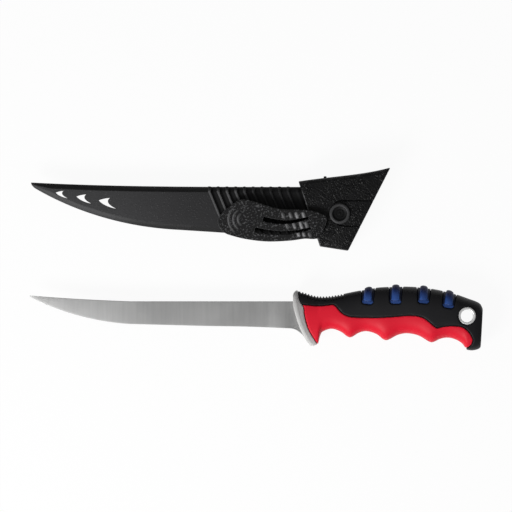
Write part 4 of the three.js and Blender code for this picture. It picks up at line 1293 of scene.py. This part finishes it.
def scabbard_ring(place, room, proud=0.0):
    """A section that leans over near the collar. The room is negative for the hollow."""
    top = scabbard_back(place)

    def leaned(y):
        return place + RIB_SLANT * eased(LEAN_START, LEAN_FULL, place) * max(0, top + RIB_BEND - y)

    bottom = scabbard_edge(place)
    for _ in range(LEAN_ROUNDS):
        bottom = scabbard_edge(leaned(bottom))
    grow = room + proud * RIB_AT_BACK
    tall = top - bottom + 2 * grow
    near_tip = eased(SCABBARD_TIP, SCABBARD_BELLY, place)
    half = between(SCABBARD_TIP_HALF, SCABBARD_HALF, near_tip) + room + proud
    if room == 0:
        nose = between(NOSE_SHARE, 1, swell(max(0, SCABBARD_TIP + TIP_NOSE - place), TIP_NOSE))
        bottom = top - (top - bottom) * nose
        tall = top - bottom
        half = half * nose
    edge = max(THINNEST_EDGE, half * SCABBARD_EDGE_HALF / SCABBARD_HALF)
    chamfer = min(CHAMFER + CHAMFER_PER_ROOM * room, tall * CHAMFER_SHARE)
    soft = min(FACE_SOFT, tall * FACE_SOFT_SHARE)
    bevel = [(0, edge), (chamfer * EDGE_DROP, between(edge, half, EDGE_SWELL)),
             (chamfer, half - FACE_FALL), (chamfer + soft, half)]
    heights = [(top + grow - inset, z) for inset, z in bevel]
    heights += [(bottom - grow + inset, z) for inset, z in reversed(bevel)]
    return both_sides([(leaned(y), y, z) for y, z in heights])


def scabbard_rings(room, start, end, ribs=False):
    smooth = [*steps(start, start + TIP_NOSE, NOSE_STEP),
              *steps(start + TIP_NOSE, LEAN_FULL, SMOOTH_STEP)]
    first_rib = LAST_RIB - RIB_COUNT * RIB_PITCH
    smooth += [x for x in steps(LEAN_FULL, end, RIB_STEP) if not ribs or x < first_rib]
    places = dict.fromkeys(smooth, 0.0)
    for i in range(RIB_COUNT if ribs else 0):
        middle = LAST_RIB - i * RIB_PITCH
        places.update({middle + RIB_HALF * share: RIB_HEIGHT * math.sqrt(1 - share * share)
                       for share in RIB_SHARES})
    places[end] = 0.0
    return [scabbard_ring(x, room, places[x]) for x in sorted(places)]


print("scabbard tip:", round(SCABBARD_TIP, 2), "mm from the collar")

# %% [markdown]
# Three drain holes near the tip let water out. Each is a swept fin with its point to the left, cut
# through both walls. The faces from the first rib on get the second finish of the scabbard.

# %% Model the scabbard
DRAINS = [(20.6, -5.75, 8), (35.6, -8.85, 10), (51.4, -11.85, 11.6)]
COLLAR_TOP = 3.75
SEAT_DEPTH = 3.4
COLLAR_SEAT = SEAT_DEPTH / math.cos(COLLAR_LEAN)
PAST_END = 4
DRAIN_STEPS = 8
FIN = [((-0.5, 0.24), (-0.2, 0.36), (0.15, 0.38)), ((0.15, 0.38), (-0.2, 0.1), (0.5, -0.24)),
       ((0.5, -0.24), (-0.2, -0.1), (-0.5, 0.24))]


def drain_hole(from_tip, y, size):
    outline = []
    for start, bend, end in FIN:
        for t in (i / DRAIN_STEPS for i in range(DRAIN_STEPS)):
            near_bend = Vector(bend) * 2 * t * (1 - t)
            point = Vector(start) * (1 - t) ** 2 + near_bend + Vector(end) * t * t
            outline.append((SCABBARD_TIP + from_tip + point.x * size, y + point.y * size))
    return block(outline)


def scabbard_mesh():
    hollow = loft(scabbard_rings(-SCABBARD_WALL, SCABBARD_TIP + TIP_WALL, SCABBARD_END + PAST_END))
    body = loft(scabbard_rings(0, SCABBARD_TIP, SCABBARD_END, ribs=True))
    seat = [(COLLAR_SEAT + (COLLAR_TOP - y) * SLANT, y) for y in (FAR, -FAR)]
    past_seat = block([*seat, (2 * FAR, -FAR), (2 * FAR, FAR)])
    return cut(body, hollow, past_seat, gathered([drain_hole(*drain) for drain in DRAINS]))


scabbard = piece("scabbard_sleeve", scabbard_mesh(), SHEATH, SPECKLED, ["scabbard"],
                 "sheath", MOULDED_CREASE)
scabbard.data.materials.append(RIBBED)
ribs_start = LAST_RIB - (RIB_COUNT - 1) * RIB_PITCH - RIB_HALF
for face in scabbard.data.polygons:
    local = (face.center - SHEATH) / MM
    face.material_index = local.x + RIB_SLANT * min(local.y - RIB_BEND, 0) > ribs_start

# %% [markdown]
# The collar is a rounded box round the guard, with a slanted mouth and a back edge that sags a little.
# Its outline is pushed out to a block, and bevels round its long edges and ease its two ends. A smaller
# block cuts the hollow, and the scabbard's own skin cuts the opening that the scabbard sits in.

# %% Draw the collar
COLLAR_HALF = 13.5
COLLAR_WALL = 1.9
COLLAR_ROUND = 3.2
COLLAR_END_ROUND = 0.6
LONG_SEGMENTS, END_SEGMENTS = 6, 3
BACK_LEFT = Vector((0, COLLAR_TOP))
BACK_RIGHT = Vector((62.0, 13.1))
BELLY_LEFT = Vector((14.44, -40.2))
BELLY_RIGHT = Vector((33.35, -43.1))
BACK_SAG = 7.7
SAG_POWER = 2.2
BACK_POINTS = 15
FLAT_FACING, END_FACING, SIDE_FACING = 0.9, 0.7, 0.1


def collar_outline(inset, left, overrun):
    """The collar from the side. Its left side is moved by left, and its mouth by overrun."""
    back = (BACK_RIGHT - BACK_LEFT).normalized()
    belly = (BELLY_RIGHT - BELLY_LEFT).normalized()
    shares = [i / (BACK_POINTS - 1) for i in range(BACK_POINTS)]
    sags = [Vector((0, BACK_SAG * t ** SAG_POWER * (1 - t))) for t in shares]
    line = [BACK_LEFT.lerp(BACK_RIGHT, t) - sag for t, sag in zip(shares, sags)]
    line[0] = line[0] + back * left
    line[-1] = line[-1] + back * overrun
    top = [point - Vector((-back.y, back.x)) * inset for point in line]
    low = [BELLY_LEFT + belly * left, BELLY_RIGHT + belly * overrun]
    bottom = [point + Vector((-belly.y, belly.x)) * inset for point in low]
    return [tuple(point) for point in bottom + list(reversed(top))]


def rounded(bm, edges, size, segments):
    bmesh.ops.bevel(bm, geom=edges, offset=size, affect="EDGES", segments=segments, profile=0.5,
                    material=-1)


def collar_block(inset, left, overrun, rounding, end_rounding):
    bm = block(collar_outline(inset, left, overrun), inset - COLLAR_HALF, COLLAR_HALF - inset)
    flat = [face for face in bm.faces if abs(face.normal.z) > FLAT_FACING]
    ends = [face for face in bm.faces if abs(face.normal.x) > END_FACING]
    end_edges = {edge for face in ends for edge in face.edges}
    long_edges = [edge for face in flat for edge in face.edges if edge not in end_edges]
    rounded(bm, long_edges, rounding, LONG_SEGMENTS)
    if end_rounding:
        ends = [face for face in bm.faces
                if abs(face.normal.x) > END_FACING and abs(face.normal.z) < SIDE_FACING]
        largest = sorted(ends, key=lambda face: face.calc_area())[-2:]
        rim = list({edge for face in largest for edge in face.edges})
        rounded(bm, rim, end_rounding, END_SEGMENTS)
    return bm


print("collar:", round((BACK_RIGHT - BACK_LEFT).length, 1), "mm along its back")

# %% [markdown]
# A springy tongue is cut free from the collar's near wall by two slits that run out to the mouth. The
# slits start at the round boss of the button, so the tongue's root lies hidden under the button's ring.
# The tongue is what the collar's shell shares with a block of its outline, with a catch nose inside. The
# collar also has a shallow recess beside the button, a stepped corner at its mouth and a small pip.

# %% Model the collar and the tongue
TONGUE_TOP = -9.85
TONGUE_BOTTOM = -26.15
BUTTON_RADIUS = 7
ROOT_RADIUS = 6.5
ROOT_TURNS = range(125, 256, 13)
SLIT = 0.75
MOUTH_OVERRUN = 20
SLEEVE_FROM = -90
NOSE = (33, -18, 2.4, 9, 0.8)
PIP = (18.0, 6.2)
PIP_FOOT, PIP_TOP, PIP_TALL = 1.35, 0.8, 2
RECESS = [(4.8, -15.2), (19.4, -15.2), (20.4, -12.0), (3.9, -12.4)]
RECESS_DEPTH = 0.7
CORNER = [(60.9, 12.95), (61.55, 12.8), (61.55, 12.1), (65, 12.1), (65, 16), (60.9, 16)]


def tongue_outline():
    turns = [math.radians(turn) for turn in ROOT_TURNS]
    root = [(BUTTON_X + ROOT_RADIUS * math.cos(turn), BUTTON_Y + ROOT_RADIUS * math.sin(turn))
            for turn in turns]
    upper = [(29, TONGUE_TOP), (26.6, TONGUE_TOP - 0.3), (24.9, TONGUE_TOP - 1.3)]
    lower = [(26.7, TONGUE_BOTTOM + 1.2), (28.6, TONGUE_BOTTOM + 0.3), (31, TONGUE_BOTTOM)]
    return [(FAR, TONGUE_TOP), *upper, *root, *lower, (FAR, TONGUE_BOTTOM)]


def collar_shell():
    hollow = collar_block(COLLAR_WALL, COLLAR_SEAT, MOUTH_OVERRUN, COLLAR_ROUND - COLLAR_WALL / 2, 0)
    return cut(collar_block(0, 0, 0, COLLAR_ROUND, COLLAR_END_ROUND), hollow)


def collar_mesh():
    sleeve_room = loft(scabbard_rings(CLEARANCE, SLEEVE_FROM, SCABBARD_END + PAST_END / 2))
    tongue_room = block(grown(tongue_outline(), SLIT), COLLAR_HALF / 2, FAR)
    recess = block(RECESS, COLLAR_HALF - RECESS_DEPTH, FAR)
    pip = bmesh.new()
    bmesh.ops.create_cone(pip, cap_ends=True, segments=16, radius1=PIP_FOOT, radius2=PIP_TOP,
                          depth=PIP_TALL)
    upright = Matrix.Rotation(math.radians(-90), 3, "X")
    bmesh.ops.rotate(pip, cent=(0, 0, 0), matrix=upright, verts=pip.verts)
    bmesh.ops.translate(pip, vec=(*PIP, 0), verts=pip.verts)
    return joined(cut(collar_shell(), sleeve_room, tongue_room, recess, block(CORNER)), pip)


def tongue_mesh():
    x, y, width, length, height = NOSE
    inner = COLLAR_HALF - COLLAR_WALL
    low, high = y - length / 2, y + length / 2
    outline = [(x, low), (x + width, low), (x + width, high), (x, high)]
    nose = block(outline, inner - height, inner + COLLAR_WALL / 2)
    return joined(shared(collar_shell(), block(tongue_outline(), COLLAR_HALF / 2, FAR)), nose)


piece("collar_shell", collar_mesh(), SHEATH, LEATHER, ["collar"], "sheath",
      MOULDED_CREASE)
piece("tongue_panel", tongue_mesh(), SHEATH, LEATHER, ["retention_tongue"], "tongue",
      MOULDED_CREASE)

# %% [markdown]
# The button on the tongue is a rounded ring round a dish, with a finer ring and a dot in the middle of
# the dish. It is a turned piece, spun from its profile.

# %% Model the button
button_profile = [(0, 0), (BUTTON_RADIUS, 0), (BUTTON_RADIUS, 0.7), (BUTTON_RADIUS - 0.15, 1.1),
                  (BUTTON_RADIUS - 0.5, 1.45), (BUTTON_RADIUS - 1.0, 1.6), (5.5, 1.6), (5.1, 1.5),
                  (4.85, 1.2), (4.7, 0.4), (4.4, 0.15), (2.9, 0.15), (2.65, 0.4), (2.35, 0.4),
                  (2.1, 0.15), (0.95, 0.15), (0.8, 0.45), (0.5, 0.55), (0, 0.55)]
lifted = [(radius, COLLAR_HALF + height) for radius, height in button_profile]
piece("button_ring", turned(lifted, BUTTON_X, BUTTON_Y), SHEATH, BUTTON,
      ["retention_button"], "tongue", TURNED_CREASE)

# %% [markdown]
# The belt clip is one springy leaf. It stands on a pad on the collar and leans down to the scabbard. It
# is drawn flat first: an outline, two long slots that taper, rows of short ridges, and three plain nested
# arcs. Ridges and arcs are half round bars, which are rings along a line again.

# %% Draw the clip
CLIP_REACH = 54.8
CLIP_LEAF = through([(-CLIP_REACH, -21.65), (-51.6, -30.05), (-41.6, -33.95), (-30, -36.1), (-19, -36.9),
                     (-5.5, -36.25), (4, -35.0), (12, -34.9), (16, -30.35), (19, -21.65), (15.3, -17.95),
                     (8, -15.75), (-1, -15.45), (-11.7, -15.0), (-18.1, -13.6), (-23.8, -11.9),
                     (-29.6, -10.1), (-34.4, -8.9), (-38.4, -8.5), (-42.2, -9.8), (-45.4, -12.3),
                     (-49.4, -15.4)], 162, True)
CLIP_SLOTS = [[(-24, -21.55), (-16, -23.25), (-8.2, -23.75), (-0.9, -22.85), (7, -20.65)],
              [(-29.8, -28.65), (-21, -30.35), (-11.7, -30.95), (-0.9, -30.05), (8.6, -27.85)]]
SLOT_WIDTH = 3.1
SLOT_TAPER = 0.45
SLOT_POINTS = 25
CLIP_HALF = 1.3
CLIP_PAD = 1.0
CLIP_HINGE = 10
CLIP_LEVEL = COLLAR_HALF + CLIP_PAD + CLIP_HALF
CLIP_GAP = 1.2
CLIP_FALL = COLLAR_HALF + CLIP_PAD - SCABBARD_HALF - RIB_HEIGHT - CLIP_GAP
CLIP_LEAN = math.asin(CLIP_FALL / (CLIP_HINGE + CLIP_REACH))
RIDGE_ROWS = [(-19.1, 1.9, (-10.2, -5.2, -1.1, 3.6)), (-25.8, 2.3, (-7.6, -2.8, 1.8, 5.6)),
              (-32.1, 1.3, (0.1, 3.8, 7.7))]
RIDGE_HALF = 1.15
RIDGE_LEAN = 0.3
RIDGE_HEIGHT = 1.0
RIDGE_SHARES = (1, 0.85, 0.5, 0, -0.5, -0.85, -1)
ARCS = [(10.8, 52), (7.6, 58), (4.4, 62)]
ARC_MIDDLE = Vector((-36.5, -21.8))
ARC_HALF = 0.8
ARC_HEIGHT = 0.7
BAR_SUNK = 0.4
BAR_END = 0.3


def walk(line):
    """The points of a line, each with the direction there."""
    points = [Vector(point) for point in line]
    for before, point, after in zip([points[0]] + points, points, points[1:] + points[-1:]):
        yield point, (after - before).normalized()


def clip_slot(points):
    left, right = [], []
    for i, (point, ahead) in enumerate(walk(through(points, SLOT_POINTS - 1))):
        half = SLOT_WIDTH / 2 * between(1, SLOT_TAPER, i / (SLOT_POINTS - 1))
        side = Vector((-ahead.y, ahead.x)) * half
        left.append(tuple(point + side))
        right.append(tuple(point - side))
    return block(right + left[::-1])


def bar(line, half, height):
    """A half round bar along a line, with rounded ends."""
    arch = [(math.cos(turn), math.sin(turn)) for turn in (math.pi * k / 8 for k in range(9))]
    rings = []
    for i, (point, ahead) in enumerate(walk(line)):
        size = max(BAR_END, swell(2 * i / (len(line) - 1) - 1, 1)) ** 0.5
        ring = [(half * size * u, CLIP_HALF - BAR_SUNK + (height + BAR_SUNK) * size * v) for u, v in arch]
        ring += [(-half * size, 0), (half * size, 0)]
        rings.append([(point.x - ahead.y * u, point.y + ahead.x * u, z) for u, z in ring])
    return loft(rings)


def ridge_line(x, y, half_length):
    return [(x - RIDGE_LEAN * half_length * share, y + half_length * share) for share in RIDGE_SHARES]


def arc_line(radius, spread):
    turns = [math.radians(180 + spread * i / 8) for i in range(-8, 9)]
    return [tuple(ARC_MIDDLE + radius * Vector((math.cos(turn), math.sin(turn)))) for turn in turns]


print("clip leans:", round(math.degrees(CLIP_LEAN), 2), "degrees")

# %% [markdown]
# The flat leaf is lifted to its level and softened all over. Then all that lies left of the hinge is
# turned down about it, and a few more rounds of smoothing make that fold a bend. The pad under the root
# is a little smaller than the leaf.

# %% Model the clip
CLIP_GRID = 0.3
CLIP_ROUNDS = 3
BEND_REACH = 2.5
BEND_ROUNDS = 10
PAD_INSET = 1.2
PAD_LIFT = 0.02
RIDGE_LINES = [ridge_line(x, y, half) for y, half, places in RIDGE_ROWS for x in places]


def clip_mesh():
    bars = [bar(line, RIDGE_HALF, RIDGE_HEIGHT) for line in RIDGE_LINES]
    bars += [bar(arc_line(*arc), ARC_HALF, ARC_HEIGHT) for arc in ARCS]
    slots = gathered([clip_slot(points) for points in CLIP_SLOTS])
    leaf = cut(joined(block(CLIP_LEAF, -CLIP_HALF, CLIP_HALF), gathered(bars)), slots)
    bmesh.ops.translate(leaf, vec=(0, 0, CLIP_LEVEL), verts=leaf.verts)
    leaf = softened(leaf, CLIP_GRID, CLIP_ROUNDS)
    swung = [vert for vert in leaf.verts if vert.co.x < CLIP_HINGE]
    bmesh.ops.rotate(leaf, cent=(CLIP_HINGE, 0, CLIP_LEVEL), verts=swung,
                     matrix=Matrix.Rotation(-CLIP_LEAN, 3, "Y"))
    near_bend = [vert for vert in leaf.verts if abs(vert.co.x - CLIP_HINGE) < BEND_REACH]
    for _ in range(BEND_ROUNDS):
        bmesh.ops.smooth_vert(leaf, verts=near_bend, factor=0.5, use_axis_z=True)
    pad = [point for point in grown(CLIP_LEAF, -PAD_INSET) if point[0] > CLIP_HINGE + PAD_INSET]
    return joined(leaf, block(pad, COLLAR_HALF + PAD_LIFT, CLIP_LEVEL - CLIP_HALF / 2))


clip = piece("clip_leaf", clip_mesh(), SHEATH, STIPPLED, ["belt_clip", "clip_root"])

# %% [markdown]
# The ridges' tops get a painted highlight, strongest in the middle of the rows, and the arcs only a
# little.
# A KD tree finds the nearest point on any ridge, so each vertex can be marked by its distance from it.
# For that, vertices on the leaning part are turned back to the flat.

# %% Mark the painted highlight on the clip's ridges
HIGHLIGHT_X = 1.2
HIGHLIGHT_REACH = 4.5
LEAST_HIGHLIGHT = 0.3
ARC_HIGHLIGHT = 0.22
TOP_REACH = 1.6
TOP_SLOPE = 2.5

ridge_spots = [spot for line in RIDGE_LINES for spot in line]
arc_spots = [spot for arc in ARCS for spot in arc_line(*arc)]
wear_and_sheen = [between(LEAST_HIGHLIGHT, 1, math.exp(-((x - HIGHLIGHT_X) / HIGHLIGHT_REACH) ** 2)) for x, _ in ridge_spots]
wear_and_sheen += [ARC_HIGHLIGHT] * len(arc_spots)
tops = KDTree(len(wear_and_sheen))
for i, spot in enumerate(ridge_spots + arc_spots):
    tops.insert((*spot, 0), i)
tops.balance()


def ridge_highlight_at(point):
    """How much painted highlight a point of the finished clip gets, by its nearness to a ridge's top."""
    pivot = Vector((CLIP_HINGE, 0, CLIP_LEVEL))
    local = (point - SHEATH) / MM
    if local.x < CLIP_HINGE:
        local = Matrix.Rotation(CLIP_LEAN, 3, "Y") @ (local - pivot) + pivot
    _, i, reach = tops.find((local.x, local.y, 0))
    above = local.z - CLIP_LEVEL - CLIP_HALF
    return wear_and_sheen[i] * clamp(TOP_REACH - reach) * clamp(above * TOP_SLOPE)


marked(clip, "ridge_highlight", ridge_highlight_at)
print("rubbed spots:", len(wear_and_sheen))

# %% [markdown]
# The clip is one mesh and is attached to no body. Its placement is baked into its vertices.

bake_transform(clip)
